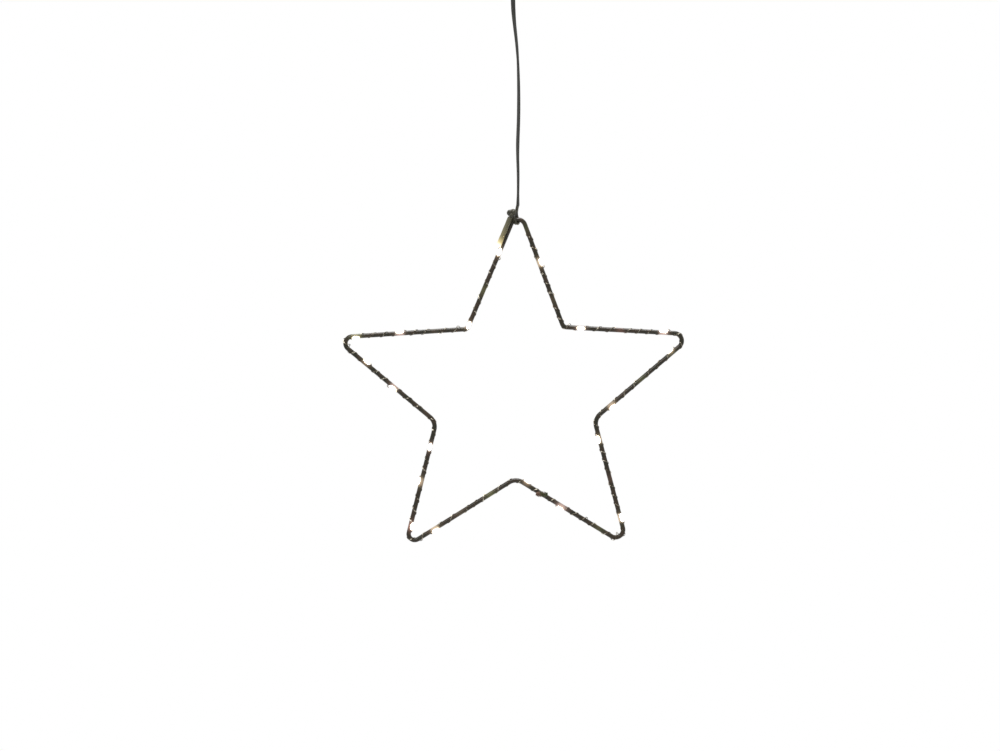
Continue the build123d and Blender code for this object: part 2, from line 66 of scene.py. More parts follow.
def evaluated_mesh(holder):
    """A plain copy of an object's mesh, as its modifiers or its curve make it."""
    bpy.context.view_layer.update()
    drawn = holder.evaluated_get(bpy.context.evaluated_depsgraph_get())
    return bpy.data.meshes.new_from_object(drawn)


KINDS = {1: ("FLOAT", "value"), 3: ("FLOAT_VECTOR", "vector"), 4: ("FLOAT_COLOR", "color")}


def store(mesh, **values):
    """Numbers, vectors or colours for the points of a mesh, by name."""
    for key, rows in values.items():
        rows = np.array(rows, np.float32).reshape(len(rows), -1)
        kind, field = KINDS[rows.shape[1]]
        mesh.attributes.new(key, kind, "POINT").data.foreach_set(field, rows.ravel())


def built_mesh(build):
    """A new mesh of what was built."""
    mesh = bpy.data.meshes.new("built")
    build.to_mesh(mesh)
    build.free()
    return mesh


def full_turn(sides):
    return [2 * pi * k / sides for k in range(sides)]


def shares(steps):
    return [step / steps for step in range(steps + 1)]


def skinned_mesh(rows, closed=False, **values):
    """A smooth closed skin over rows of points, with values for the points by name."""
    build = bmesh.new()
    rings = [[build.verts.new(point) for point in row] for row in rows]
    for low, high in zip(rings, rings[1:] + rings[:1] if closed else rings[1:]):
        for k in range(len(low)):
            after = (k + 1) % len(low)
            build.faces.new((low[k], low[after], high[after], high[k]))
    if not closed:
        build.faces.new(list(reversed(rings[0])))
        build.faces.new(rings[-1])
    bmesh.ops.recalc_face_normals(build, faces=build.faces)
    mesh = built_mesh(build)
    store(mesh, **values)
    mesh.shade_smooth()
    return mesh


def add_piece(name, mesh, material, body, replaces=()):
    """A finished piece: mesh, material, the body it rides on and the nodes it stands for."""
    piece = linked(name, mesh)
    if material:
        mesh.materials.clear()
        mesh.materials.append(material)
    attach(piece, body)
    if replaces:
        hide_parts(*replaces)
    return piece


# %% [markdown]
# The picture was taken straight from the front with a long lens. The camera stands where one
# pixel is 0.706 mm at the star, so that the star fills the same third of the frame.

# %% Camera
PIXEL = 0.706 * MM
PICTURE_WIDTH = 1000
AIM = Vector((-8.91 * MM, 0, -365.0 * MM))
LENS, SENSOR = 85.0, 36.0
distance = PICTURE_WIDTH * PIXEL * LENS / SENSOR

camera_data = bpy.data.cameras.new("camera")
camera_data.lens, camera_data.sensor_width = LENS, SENSOR
camera_data.clip_start, camera_data.clip_end = 0.01, 20
camera = linked("camera", camera_data)
camera.location = AIM + FRONT * distance
camera.rotation_euler = (pi / 2, 0, 0)
scene.camera = camera

# %% [markdown]
# A material here is a Principled shader fed by a few nodes. Small helpers keep the cells short:
# one joins or sets sockets, one adds a node, one adds a sum. Effects that several finishes share
# are node groups, built once: a cloudy change of colour, and a fine grain that tips the surface.

# %% Helpers for node trees
GEOMETRY, MATERIAL = "NodeSocketGeometry", "NodeSocketMaterial"
COLOUR, VECTOR = "NodeSocketColor", "NodeSocketVector"
FLOAT = "NodeSocketFloat"
SOCKET_OF = {float: FLOAT, int: "NodeSocketInt", tuple: COLOUR}


def connect(tree, node, **inputs):
    """Link or set a node's inputs, each by its name or numbered as n0, n1 and so on.

    A value is a constant, another node's output, or a node that stands for its first output.
    """
    for key, value in inputs.items():
        numbered = key[0] == "n" and key[1:].isdigit()
        socket = node.inputs[int(key[1:]) if numbered else key.replace("_", " ")]
        if isinstance(value, bpy.types.Node):
            value = value.outputs[0]
        if isinstance(value, bpy.types.NodeSocket):
            tree.links.new(value, socket)
        else:
            socket.default_value = value


def add(tree, kind, settings=(), **inputs):
    """A node with its settings as attributes, and its inputs as values or linked sockets."""
    node = tree.nodes.new(kind)
    for key, value in dict(settings).items():
        setattr(node, key, value)
    connect(tree, node, **inputs)
    return node


def tree_math(tree, operation, *inputs, kind="ShaderNodeMath", **named):
    """A math node, with its inputs in order or by name."""
    numbered = {f"n{place}": value for place, value in enumerate(inputs)}
    return add(tree, kind, {"operation": operation}, **numbered, **named)


def tree_vector(tree, operation, *inputs, **named):
    return tree_math(tree, operation, *inputs, kind="ShaderNodeVectorMath", **named)


def new_group(name, kind, inputs, outputs):
    """A node group. An input is given as its value, or as its type where it has none."""
    tree = bpy.data.node_groups.new(name, kind)
    for label, value in inputs.items():
        socket_type = SOCKET_OF.get(type(value), value)
        socket = tree.interface.new_socket(label, in_out="INPUT", socket_type=socket_type)
        if socket_type != value:
            socket.default_value = value
    for label, socket_type in outputs.items():
        tree.interface.new_socket(label, in_out="OUTPUT", socket_type=socket_type)
    return tree, tree.nodes.new("NodeGroupInput").outputs, tree.nodes.new("NodeGroupOutput")


def rgba(red, green, blue):
    return (red, green, blue, 1.0)


def blend(tree, mask, first, second):
    """One colour where a mask is 0 and another where it is 1."""
    mix = add(tree, "ShaderNodeMix", {"data_type": "RGBA"}, n0=mask, n6=first, n7=second)
    return mix.outputs[2]


def ramp(tree, factor, *stops):
    """A colour ramp from its stops, each a position and a colour."""
    node = add(tree, "ShaderNodeValToRGB", n0=factor)
    elements = node.color_ramp.elements
    while len(elements) < len(stops):
        elements.new(0.5)
    for element, (position, colour) in zip(elements, stops):
        element.position, element.color = position, rgba(*colour)
    return node


def on_points(tree, name, output="Fac"):
    """A value that the mesh's points carry."""
    return add(tree, "ShaderNodeAttribute", {"attribute_name": name}).outputs[output]


def object_noise(tree, scale, detail, **inputs):
    """Noise on Object coordinates."""
    place = add(tree, "ShaderNodeTexCoord").outputs["Object"]
    return add(tree, "ShaderNodeTexNoise", Vector=place, Scale=scale, Detail=detail, **inputs)


# %% Group: cloudy colour
cloudy, given, out = new_group(
    "cloudy_colour", "ShaderNodeTree",
    {"First": rgba(0.1, 0.1, 0.1), "Second": rgba(0.2, 0.2, 0.2), "Scale": 400.0, "Start": 0.4,
     "End": 0.6},
    {"Colour": COLOUR, "Mask": FLOAT},
)
noise = object_noise(cloudy, given["Scale"], 5.0, Roughness=0.6)
mask = add(
    cloudy, "ShaderNodeMapRange", Value=noise, From_Min=given["Start"], From_Max=given["End"]
)
connect(cloudy, out, Colour=blend(cloudy, mask, given["First"], given["Second"]), Mask=mask)

# %% Group: fine grain
grainy, given, out = new_group(
    "fine_grain", "ShaderNodeTree", {"Scale": 3000.0, "Strength": 0.2, "Depth": 0.0001},
    {"Normal": VECTOR},
)
tipped = add(
    grainy, "ShaderNodeBump", Strength=given["Strength"], Distance=given["Depth"],
    Height=object_noise(grainy, given["Scale"], 3.0),
)
connect(grainy, out, Normal=tipped)


# %% Helpers: the groups in a material, and a finish made of both
def clouds(tree, first, second, scale, start, end):
    """A cloudy colour and its mask."""
    group = add(
        tree, "ShaderNodeGroup", {"node_tree": cloudy}, First=rgba(*first), Second=rgba(*second),
        Scale=scale, Start=start, End=end,
    )
    return group.outputs["Colour"], group.outputs["Mask"]


def grain_normal(tree, scale, strength, depth):
    """The normal of a surface with a fine grain."""
    return add(
        tree, "ShaderNodeGroup", {"node_tree": grainy}, Scale=scale, Strength=strength, Depth=depth
    )


def new_material(name, **sockets):
    """A material with its node tree and its shader, whose constants are given by name."""
    material = bpy.data.materials.new(name)
    material.use_nodes = True
    tree = material.node_tree
    shader = tree.nodes["Principled BSDF"]
    connect(tree, shader, **sockets)
    return material, tree, shader


def finish(name, first, second, scale, cloud_range=(0.4, 0.6), grain=(3000.0, 0.2, 0.0001),
           roughness=(0.4, 0.5), lit=False, **sockets):
    """A Principled material with cloudy colour and roughness, a fine grain and, if lit, the painted
    glow of the lights.
    """
    material, tree, shader = new_material(name, **sockets)
    colour, mask = clouds(tree, first, second, scale, *cloud_range)
    dull = add(tree, "ShaderNodeMapRange", Value=mask, To_Min=roughness[0], To_Max=roughness[1])
    normal = grain_normal(tree, *grain)
    connect(tree, shader, Base_Color=colour, Roughness=dull, Normal=normal)
    # The stored glow of the lights is painted light, emitted by the surface.
    if lit:
        glow = on_points(tree, "lit", "Color")
        connect(tree, shader, Emission_Color=glow, Emission_Strength=1.0)
    return material


# %% [markdown]
# The frame is steel wire with a dark satin paint, a little brown in it. The string is two fine
# bright wires. The lead has a soft dark cover, and the box a matt moulded one.

# %% Finishes
# The frame, the string and its slack also emit the painted glow of the lights near them.
paint = finish(
    "frame_paint", (0.009, 0.0092, 0.002), (0.027, 0.016, 0.007), 230.0,
    grain=(2200.0, 0.25, 0.00008), roughness=(0.36, 0.46), lit=True, Specular_IOR_Level=0.12,
    Coat_Weight=0.4, Coat_Roughness=0.22,
)
string_metal = finish(
    "string_wire", (0.075, 0.062, 0.042), (0.62, 0.58, 0.48), 520.0, (0.47, 0.66),
    (5000.0, 0.1, 0.00003), (0.22, 0.34), lit=True, Metallic=1.0,
)
slack_enamel = finish(
    "string_slack", (0.050, 0.058, 0.024), (0.110, 0.062, 0.040), 170.0, (0.46, 0.58),
    (5000.0, 0.1, 0.00003), (0.25, 0.4), lit=True, Specular_IOR_Level=0.25,
)
lead_cover = finish(
    "lead_cover", (0.024, 0.024, 0.021), (0.034, 0.034, 0.029), 220.0,
    grain=(3500.0, 0.2, 0.00006), roughness=(0.42, 0.58), Specular_IOR_Level=0.3,
)
knot_cover = finish(
    "knot_cover", (0.022, 0.021, 0.012), (0.050, 0.045, 0.027), 420.0,
    grain=(3500.0, 0.2, 0.00006), roughness=(0.3, 0.45), Specular_IOR_Level=0.3,
)
solder_metal = finish(
    "solder", (0.42, 0.41, 0.40), (0.55, 0.54, 0.52), 900.0, grain=(2500.0, 0.3, 0.00005),
    roughness=(0.3, 0.5), Metallic=1.0,
)
bright_steel = finish(
    "bright_steel", (0.50, 0.49, 0.47), (0.62, 0.61, 0.59), 800.0, grain=(4000.0, 0.15, 0.00004),
    roughness=(0.22, 0.38), Metallic=1.0,
)
contact_nickel = finish(
    "contact_nickel", (0.56, 0.54, 0.50), (0.66, 0.64, 0.60), 300.0, grain=(1800.0, 0.25, 0.00005),
    roughness=(0.2, 0.36), Metallic=1.0,
)
housing_plastic = finish(
    "housing_plastic", (0.020, 0.020, 0.020), (0.027, 0.027, 0.026), 90.0,
    grain=(2600.0, 0.5, 0.00012), roughness=(0.5, 0.62), Specular_IOR_Level=0.4,
)
knob_plastic = finish(
    "knob_plastic", (0.012, 0.012, 0.012), (0.018, 0.018, 0.018), 200.0,
    grain=(2200.0, 0.35, 0.0001), roughness=(0.42, 0.55), Specular_IOR_Level=0.4,
)
phosphor = finish(
    "phosphor", (0.80, 0.62, 0.18), (0.86, 0.70, 0.28), 3000.0, roughness=(0.4, 0.6),
    Emission_Color=rgba(1, 0.8, 0.5), Emission_Strength=4.0,
)

# %% [markdown]
# The lead is a flat twin cable. On the photograph its width changes from 3.7 to 2 pixels and
# back, because it turns about itself as it hangs. Its line is a smooth curve with the points of
# the route, and a section with two rounded lobes is carried along it and turned.

# %% The lead's line
lead_exit = Vector((0, 0, -84.0 * MM))
LEAD_WIDTH, LEAD_THICKNESS = 3.2 * MM, 1.75 * MM
LEAD_ROUTE = (
    (0.0, 0.0), (0.15, -13.5), (0.7, -28.0), (3.5, -51.5), (4.3, -75.5), (4.3, -99.0),
    (3.35, -122.0), (4.1, -142.0), (3.7, -161.0),
)


def smooth_points(points):
    """Points along the smooth line that a NURBS curve makes of these control points."""
    data = bpy.data.curves.new("smooth_line", "CURVE")
    data.dimensions, data.resolution_u = "3D", 12
    spline = data.splines.new("NURBS")
    spline.points.add(len(points) - 1)
    for here, point in zip(spline.points, points):
        here.co = (*point, 1.0)
    spline.order_u, spline.use_endpoint_u = 3, True
    holder = linked("smooth_line", data)
    mesh = evaluated_mesh(holder)
    line = [vertex.co.copy() for vertex in mesh.vertices]
    bpy.data.objects.remove(holder)
    bpy.data.meshes.remove(mesh)
    return line


lead_line = smooth_points([lead_exit + RIGHT * (x * MM) + UP * (z * MM) for x, z in LEAD_ROUTE])


# %% Helper: carry a section along a line
def twin_section(width, thickness, steps=9, lobe_angle=232):
    """The outline of a flat twin cable: two round lobes with a shallow groove between."""
    lobe = thickness / 2
    offset = width / 2 - lobe
    points = []
    for middle, middle_turn in ((offset, 0), (-offset, 180)):
        for step in range(steps):
            turn = radians(middle_turn - lobe_angle / 2 + lobe_angle * step / (steps - 1))
            points.append((middle + lobe * cos(turn), lobe * sin(turn)))
    return points


def round_section(radius, sides=12):
    """The outline of a round strand."""
    return [(radius * cos(turn), radius * sin(turn)) for turn in full_turn(sides)]


def swept_mesh(line, section, turn_at=lambda share: 0.0, size_at=lambda share: 1.0,
               first_side=BACK):
    """A closed tube: the section stands across the line, turned and sized along it."""
    rows, side = [], first_side
    for index, place in enumerate(line):
        before, after = line[max(index - 1, 0)], line[min(index + 1, len(line) - 1)]
        ahead = (after - before).normalized()
        side = (side - ahead * side.dot(ahead)).normalized()
        across = ahead.cross(side)
        share = index / (len(line) - 1)
        turn, size = turn_at(share), size_at(share)
        row = []
        for u, v in section:
            a, b = u * cos(turn) - v * sin(turn), u * sin(turn) + v * cos(turn)
            row.append(place + (across * a + side * b) * size)
        rows.append(row)
    return skinned_mesh(rows)


# %% The lead
# Heights in mm, and how many degrees the flat lead has turned about itself there
LEAD_TURNS = (
    (-245.0, 65), (-236.0, 90), (-227.0, 97), (-210.0, 109), (-201.6, 121), (-176.1, 118),
    (-159.2, 109), (-142.3, 90), (-133.8, 75), (-116.8, 58), (-108.4, 29), (-99.9, 0), (-84.0, -30),
)
turn_heights, turn_angles = zip(*((height * MM, angle) for height, angle in LEAD_TURNS))


def lead_turn(share):
    """How far the flat lead has turned about itself at a share of its line."""
    place = lead_line[round(share * (len(lead_line) - 1))]
    return radians(float(np.interp(place.z, turn_heights, turn_angles)))


lead_mesh = swept_mesh(lead_line, twin_section(LEAD_WIDTH, LEAD_THICKNESS), lead_turn)
lead = add_piece("flat_lead", lead_mesh, lead_cover, "lead", ["hang_lead"])

# %% [markdown]
# The frame is one wire bent into a star. It has ten corners, each rounded with its own small
# radius. Its line is worked out once, as straight runs and arcs, and then asked for a place and
# a heading at any distance. The wire, its string and the lights all follow that line.

# %% The star's line
WIRE_RADIUS = 1.6 * MM
BEND_RADII = tuple(radius * MM for radius in (5.2, 3.6, 4.9, 9.0, 4.3, 9.0, 5.4, 9.0, 5.4, 3.6))
TIP_REACH, NOTCH_REACH = 133.0 * MM, 58.5 * MM
STAR_MIDDLE = Vector((2.343 * MM, 0, -378.369 * MM))
STAR_LEAN = 0.4
CORNER_SHARES = (0.995, 0.984, 1.009, 1.019, 1.001, 1.011, 1.0, 0.99, 0.996, 0.994)
CORNER_TWISTS = (-1.15, 0.3, 0.2, 0.75, -0.35, -0.55, 0.0, 0.05, 0.3, 0.5)


def corner(k):
    """Sharp corner k of the star, anticlockwise from the top, tips at even numbers."""
    turn = radians(STAR_LEAN + 36 * k + CORNER_TWISTS[k])
    reach = (NOTCH_REACH if k % 2 else TIP_REACH) * CORNER_SHARES[k]
    return STAR_MIDDLE + Vector((-reach * sin(turn), 0, reach * cos(turn)))


corners = [corner(k) for k in range(10)]


def bend(k):
    """The arc at corner k: its start, end, centre and angle."""
    here, before, after = corners[k], corners[k - 1], corners[(k + 1) % 10]
    to_before, to_after = (before - here).normalized(), (after - here).normalized()
    half = acos(max(-1.0, min(1.0, to_before.dot(to_after)))) / 2
    set_back = BEND_RADII[k] / tan(half)
    centre = here + (to_before + to_after).normalized() * BEND_RADII[k] / sin(half)
    return here + to_before * set_back, here + to_after * set_back, centre, pi - 2 * half


# Straight runs and arcs, from just after the top bend back to its end
runs = []
for k in range(1, 11):
    start, (bend_start, bend_end, centre, angle) = bend(k - 1)[1], bend(k % 10)
    runs.append((start, bend_start, None, (bend_start - start).length))
    runs.append((bend_start, bend_end, centre, angle * (bend_start - centre).length))
STRING_PATH = sum(run[3] for run in runs[:-1])


def on_star(along):
    """Place and heading at a distance along the star's line."""
    for start, end, centre, length in runs:
        if along <= length:
            break
        along -= length
    if centre is None:
        way = (end - start).normalized()
        return start + way * along, way
    first = start - centre
    side = (end - centre) - first * (end - centre).dot(first) / first.length_squared
    side.normalize()
    turn = along / first.length
    place = centre + first * cos(turn) + side * (first.length * sin(turn))
    return place, side * cos(turn) - first.normalized() * sin(turn)


def beside_wire(along, side, reach):
    """A point beside the wire: side in degrees, 0 outward, 90 front, 180 inward, 270 back."""
    place, ahead = on_star(along)
    radial = BACK.cross(ahead) * cos(radians(side)) + FRONT * sin(radians(side))
    return place + radial * reach, ahead, radial


# %% [markdown]
# Wire along a line is made by Geometry Nodes. A mesh of bare edges holds the line. The tree
# turns it into a curve, carries a circle along it and gives it its material. The modifier's
# result is then copied into a plain mesh, because the export knows nothing of modifiers.

# %% Helpers for Geometry Nodes
def line_mesh(points, closed=False, **values):
    """A mesh of bare edges along points, with values for the points by name."""
    mesh = bpy.data.meshes.new("line")
    edges = [(k, k + 1) for k in range(len(points) - 1)]
    if closed:
        edges.append((len(points) - 1, 0))
    mesh.from_pydata([tuple(point) for point in points], edges, [])
    store(mesh, **values)
    return mesh


def grow(mesh, tree, **values):
    """The plain mesh that a Geometry Nodes tree makes of a mesh, with its inputs by name."""
    holder = linked("holder", mesh)
    modifier = holder.modifiers.new(tree.name, "NODES")
    modifier.node_group = tree
    for item in tree.interface.items_tree:
        key = item.name.replace(" ", "_").lower()
        if item.in_out == "INPUT" and key in values:
            modifier[item.identifier] = values[key]
    made = evaluated_mesh(holder)
    holder.modifiers.clear()
    bpy.data.objects.remove(holder)
    return made


def geometry_tree(name, **inputs):
    """A Geometry Nodes tree that takes a mesh, the given inputs and a material."""
    named = {key.replace("_", " "): value for key, value in inputs.items()}
    named = {"Geometry": GEOMETRY, **named, "Material": MATERIAL}
    return new_group(name, "GeometryNodeTree", named, {"Geometry": GEOMETRY})


def close_tree(tree, geometry, material, out):
    """The end of every tree: smooth faces, real geometry and the material."""
    smooth = add(tree, "GeometryNodeSetShadeSmooth", Geometry=geometry)
    real = add(tree, "GeometryNodeRealizeInstances", Geometry=smooth)
    dressed = add(tree, "GeometryNodeSetMaterial", Geometry=real, Material=material)
    connect(tree, out, Geometry=dressed)


def swept_curve(tree, curve, radius, sides):
    """A circle carried along a curve, with closed ends."""
    ring = add(tree, "GeometryNodeCurvePrimitiveCircle", Resolution=sides, Radius=radius)
    return add(tree, "GeometryNodeCurveToMesh", Curve=curve, Profile_Curve=ring, Fill_Caps=True)


# %% Tree: round wire along a line
round_wire, given, out = geometry_tree("round_wire", Radius=WIRE_RADIUS, Sides=24)
line = add(round_wire, "GeometryNodeMeshToCurve", Mesh=given["Geometry"])
wire = swept_curve(round_wire, line, given["Radius"], given["Sides"])
close_tree(round_wire, wire, given["Material"], out)

# %% The frame's wire
POINT_SPACING, BEND_STEPS = 0.8 * MM, 20
PAST_START = 0.001
frame_points = []
begun = 0.0
for start, end, centre, length in runs:
    steps = round(length / POINT_SPACING) if centre is None else BEND_STEPS
    frame_points += [on_star(begun + length * (step + PAST_START) / steps)[0]
                     for step in range(steps)]
    begun += length
star_mesh = grow(
    line_mesh(frame_points, closed=True), round_wire, radius=WIRE_RADIUS, sides=24,
    material=paint,
)
add_piece("star_wire", star_mesh, None, "star", ["star_frame"])

# %% [markdown]
# The string is a pair of fine wires wound left-handed. Its turns are about 7.6 mm apart. At each
# light both wires lift off the frame, run straight through the drop and wind on. The turn and the
# reach at each point are worked out in Python and stored on the line; the tree does the rest.

# %% Places of the lights: shares of the wound run, and sides of the wire in degrees
LIGHT_SHARES = (
    0.0, 0.036, 0.0685, 0.1, 0.1297, 0.1678, 0.2055, 0.2375, 0.272, 0.3055,
    0.3365, 0.3757, 0.4115, 0.437, 0.468, 0.5025, 0.539, 0.5765, 0.614, 0.6495,
    0.6846, 0.72, 0.7545, 0.7889, 0.823, 0.8605, 0.8945, 0.9335, 0.9683, 1.0,
)
LIGHT_SIDES = (
    90, 270, 90, 270, 64, 118, 125, 66, 270, 90,
    38, 119, 60, 270, 270, 170, 40, 270, 68, 270,
    110, 44, 270, 148, 66, 270, 95, 270, 63, 270,
)
LAST_TO_END = 3.1 * MM
TURN_PITCH = 7.6 * MM
DROP_LENGTH, DROP_RADIUS, DROP_GAP = 5.0 * MM, 1.2 * MM, 0.1 * MM
SLEEVE_LENGTH, SLEEVE_TO_LIGHT = 22.4 * MM, 0.7 * MM
BALL_ALONG, BALL_TO_SLEEVE = 6.0 * MM, 3.1 * MM
STRAND_RADIUS, STRAND_SPACING, STRAND_SIDES = 0.15 * MM, 0.46 * MM, 6
STRAND_SEAT = 0.9 * STRAND_RADIUS
STRAND_REACH = WIRE_RADIUS + STRAND_SEAT
DROP_REACH = WIRE_RADIUS + DROP_GAP + DROP_RADIUS
left_way = (corners[1] - corners[0]).normalized()
top_set_back = (runs[0][0] - corners[0]).length
sleeve_end_along = BALL_ALONG + BALL_TO_SLEEVE + SLEEVE_LENGTH - top_set_back
FIRST_LIGHT = sleeve_end_along + SLEEVE_TO_LIGHT + DROP_LENGTH / 2
WOUND = STRING_PATH - FIRST_LIGHT - LAST_TO_END
lights = []
for share, side in zip(LIGHT_SHARES, LIGHT_SIDES):
    along, phase = FIRST_LIGHT + share * WOUND, float(side)
    if lights:
        last_along, last_phase = lights[-1]
        part_turn = (side - last_phase) % 360 / 360
        whole = round((along - last_along - DROP_LENGTH) / TURN_PITCH - part_turn)
        phase = last_phase + 360 * (whole + part_turn)
    lights.append((along, phase))
spots = [beside_wire(along, phase, DROP_REACH) for along, phase in lights]

# %% [markdown]
# Each light throws a painted glow on the paint and the wire round it, the hidden ones behind the
# frame too. That glow is worked out for every point from its distance to the lights, and stored
# as a colour that the surface emits. The painted tints differ a little from light to light. What
# is left of the wire beside a light at the front is painted paler still, as far as the light is
# long.

# %% Painted glow of the lights on what is near them
GLOW_TINTS = {
    "brown": (0.16, 0.11, 0.065), "olive": (0.15, 0.18, 0.06), "red": (0.20, 0.09, 0.075),
    "tan": (0.17, 0.125, 0.075), "pink": (0.18, 0.12, 0.105),
}
TINT_OF_LIGHT = (
    "tan olive brown brown pink olive brown pink brown pink tan red tan brown olive "
    "brown pink olive tan red tan tan olive olive pink red pink brown tan olive"
).split()
TINT_STRENGTHS = (
    1.0, 1.0, 0.7, 0.4, 0.7, 0.6, 0.5, 0.8, 0.1, 0.7, 1.2, 1.2, 1.0, 1.0, 1.5,
    0.8, 2.0, 0.7, 0.6, 0.4, 0.7, 1.0, 0.9, 0.2, 0.6, 1.2, 1.2, 0.6, 1.0, 0.5,
)
BESIDE_STRENGTHS = (
    0.4, 0.0, 0.4, 0.0, 0.75, 0.15, 0.05, 0.65, 0.0, 0.4, 0.35, 0.1, 0.9, 0.0, 0.0,
    0.05, 0.45, 0.0, 1.0, 0.0, 0.4, 0.5, 0.0, 0.05, 0.8, 0.0, 0.4, 0.0, 0.7, 0.0,
)
# Painted glow: a warm glow close to every light, and a paler stretch of wire beside the lights at
# the front.
NEAR_GLOW = np.array((0.42, 0.31, 0.23))
NEAR_WIDTH, FAR_WIDTH = 2.3 * MM, 3.8 * MM
BESIDE_HALF, BESIDE_REACH, BESIDE_EDGE = 0.56 * DROP_LENGTH, 6 * MM, 0.3 * MM
BESIDE_TINT, BESIDE_PAINTED_PALE = 2.2, 0.12


def bell(away, width):
    """A soft bump: 1 in the middle, and down to a third at its width."""
    return np.exp(-((away / width) ** 2))


def store_painted_glow(mesh):
    """The painted glow that the lights throw on each point of a mesh, kept as lit."""
    points = np.empty(3 * len(mesh.vertices), np.float32)
    mesh.vertices.foreach_get("co", points)
    points = points.reshape(-1, 3)
    glow = np.zeros((len(points), 4), np.float32)
    colours = [np.array(GLOW_TINTS[name]) for name in TINT_OF_LIGHT]
    for spot, tint, strength, beside in zip(spots, colours, TINT_STRENGTHS, BESIDE_STRENGTHS):
        apart = points - np.array(spot[0])
        away = np.linalg.norm(apart, axis=1)[:, None]
        past_end = (np.abs(apart @ np.array(spot[1])) - BESIDE_HALF)[:, None] / BESIDE_EDGE
        level = beside * (away < BESIDE_REACH) * (1 - np.tanh(past_end / 2)) / 2
        glow[:, :3] += level * (BESIDE_TINT * tint + BESIDE_PAINTED_PALE)
        glow[:, :3] += bell(away, FAR_WIDTH) * (tint * strength)
        glow[:, :3] += bell(away, NEAR_WIDTH) * NEAR_GLOW
    store(mesh, lit=glow)


store_painted_glow(star_mesh)

# %% Turn and reach of the string along the wire
STRING_STEP = 0.3 * MM
HALF_STRAIGHT, LIFT_RUN = 0.46 * DROP_LENGTH, 1.6 * MM
STRING_LEAD_IN = 6.0 * MM
held = [(along + end * HALF_STRAIGHT, phase) for along, phase in lights for end in (-1, 1)]
string_s = np.arange(lights[0][0] - STRING_LEAD_IN, lights[-1][0] + HALF_STRAIGHT, STRING_STEP)
phases = np.interp(string_s, *zip(*held))
reaches = np.full(len(string_s), STRAND_REACH)
for along, _ in lights:
    lift = (HALF_STRAIGHT + LIFT_RUN - np.abs(string_s - along)) / LIFT_RUN
    lifted = STRAND_REACH + (DROP_REACH - STRAND_REACH) * np.clip(lift, 0, 1)
    reaches = np.maximum(reaches, lifted)

# Turns that stand proud of the wire: share of the run, side, height and half width in mm
PROUD_TURNS = (
    (0.0054, 180, 0.9, 1.0), (0.0771, 0, 1.0, 1.5), (0.1861, 180, 1.5, 3.0), (0.2333, 0, 1.0, 1.1),
    (0.2416, 0, 0.4, 1.2), (0.393, 20, 0.5, 2.5), (0.415, 0, 0.5, 1.2), (0.5626, 180, 0.9, 1.2),
    (0.5973, 180, 1.8, 3.0), (0.7244, 0, 0.6, 1.2), (0.7945, 180, 0.8, 1.0), (0.8151, 0, 0.6, 1.0),
    (0.906, 0, 0.9, 1.5), (0.9636, 0, 0.7, 1.0),
)
WANDER_COUNT, WANDER_WIDTHS, WANDER_HEIGHTS = 90, (2.0, 5.0), (0.02, 0.13)
ON_WIRE, DEGREES_PER_MM = 0.1 * MM, 25
random.seed(7)
wander = np.zeros(len(string_s))
for _ in range(WANDER_COUNT):
    where = random.uniform(string_s[0], string_s[-1])
    wide = random.uniform(*WANDER_WIDTHS) * MM
    high = random.uniform(*WANDER_HEIGHTS) * MM
    wander += high * bell(string_s - where, wide)
reaches = reaches + wander * (reaches < STRAND_REACH + ON_WIRE)
for share, side, high, wide in PROUD_TURNS:
    off_side = np.abs((phases - side + 180) % 360 - 180)
    off_place = np.abs(string_s - FIRST_LIGHT - share * WOUND) / MM
    nearest = int(np.argmin(off_side + DEGREES_PER_MM * off_place))
    reaches += high * MM * bell(string_s - string_s[nearest], wide * MM)


def blurred(values, width=7):
    """Values smoothed over a number of steps, with the ends kept."""
    kernel = np.hanning(width + 2)[1:-1]
    padded = np.pad(values, width // 2, mode="edge")
    return np.convolve(padded, kernel / kernel.sum(), mode="valid")[: len(values)]


# %% Tree: pair of wires wound round a line
def stored(tree, name, kind="FLOAT"):
    """A value that was stored on the line's points."""
    return add(tree, "GeometryNodeInputNamedAttribute", {"data_type": kind}, Name=name)


pair, given, out = geometry_tree(
    "wound_pair", Strand_Radius=STRAND_RADIUS, Spacing=STRAND_SPACING, Sides=STRAND_SIDES
)
line = add(pair, "GeometryNodeMeshToCurve", Mesh=given["Geometry"])
heading = add(pair, "GeometryNodeInputTangent")
outward = tree_vector(pair, "CROSS_PRODUCT", tuple(BACK), heading)
turn = stored(pair, "turn")
radial = tree_vector(
    pair, "ADD",
    tree_vector(pair, "SCALE", outward, Scale=tree_math(pair, "COSINE", turn)),
    tree_vector(pair, "SCALE", tuple(FRONT), Scale=tree_math(pair, "SINE", turn)),
)
kept = add(
    pair, "GeometryNodeStoreNamedAttribute", {"data_type": "FLOAT_VECTOR", "domain": "POINT"},
    Geometry=line, Name="radial", Value=radial,
)
radial = stored(pair, "radial", "FLOAT_VECTOR")
lifted = add(
    pair, "GeometryNodeSetPosition", Geometry=kept,
    Offset=tree_vector(pair, "SCALE", radial, Scale=stored(pair, "reach")),
)
heading = add(pair, "GeometryNodeInputTangent")
sideways = tree_vector(pair, "NORMALIZE", tree_vector(pair, "CROSS_PRODUCT", heading, radial))
both = add(pair, "GeometryNodeJoinGeometry")
for half in (0.5, -0.5):
    apart = tree_math(pair, "MULTIPLY", given["Spacing"], half)
    strand = add(
        pair, "GeometryNodeSetPosition", Geometry=lifted,
        Offset=tree_vector(pair, "SCALE", sideways, Scale=apart),
    )
    connect(pair, both, n0=swept_curve(pair, strand, given["Strand Radius"], given["Sides"]))
close_tree(pair, both, given["Material"], out)

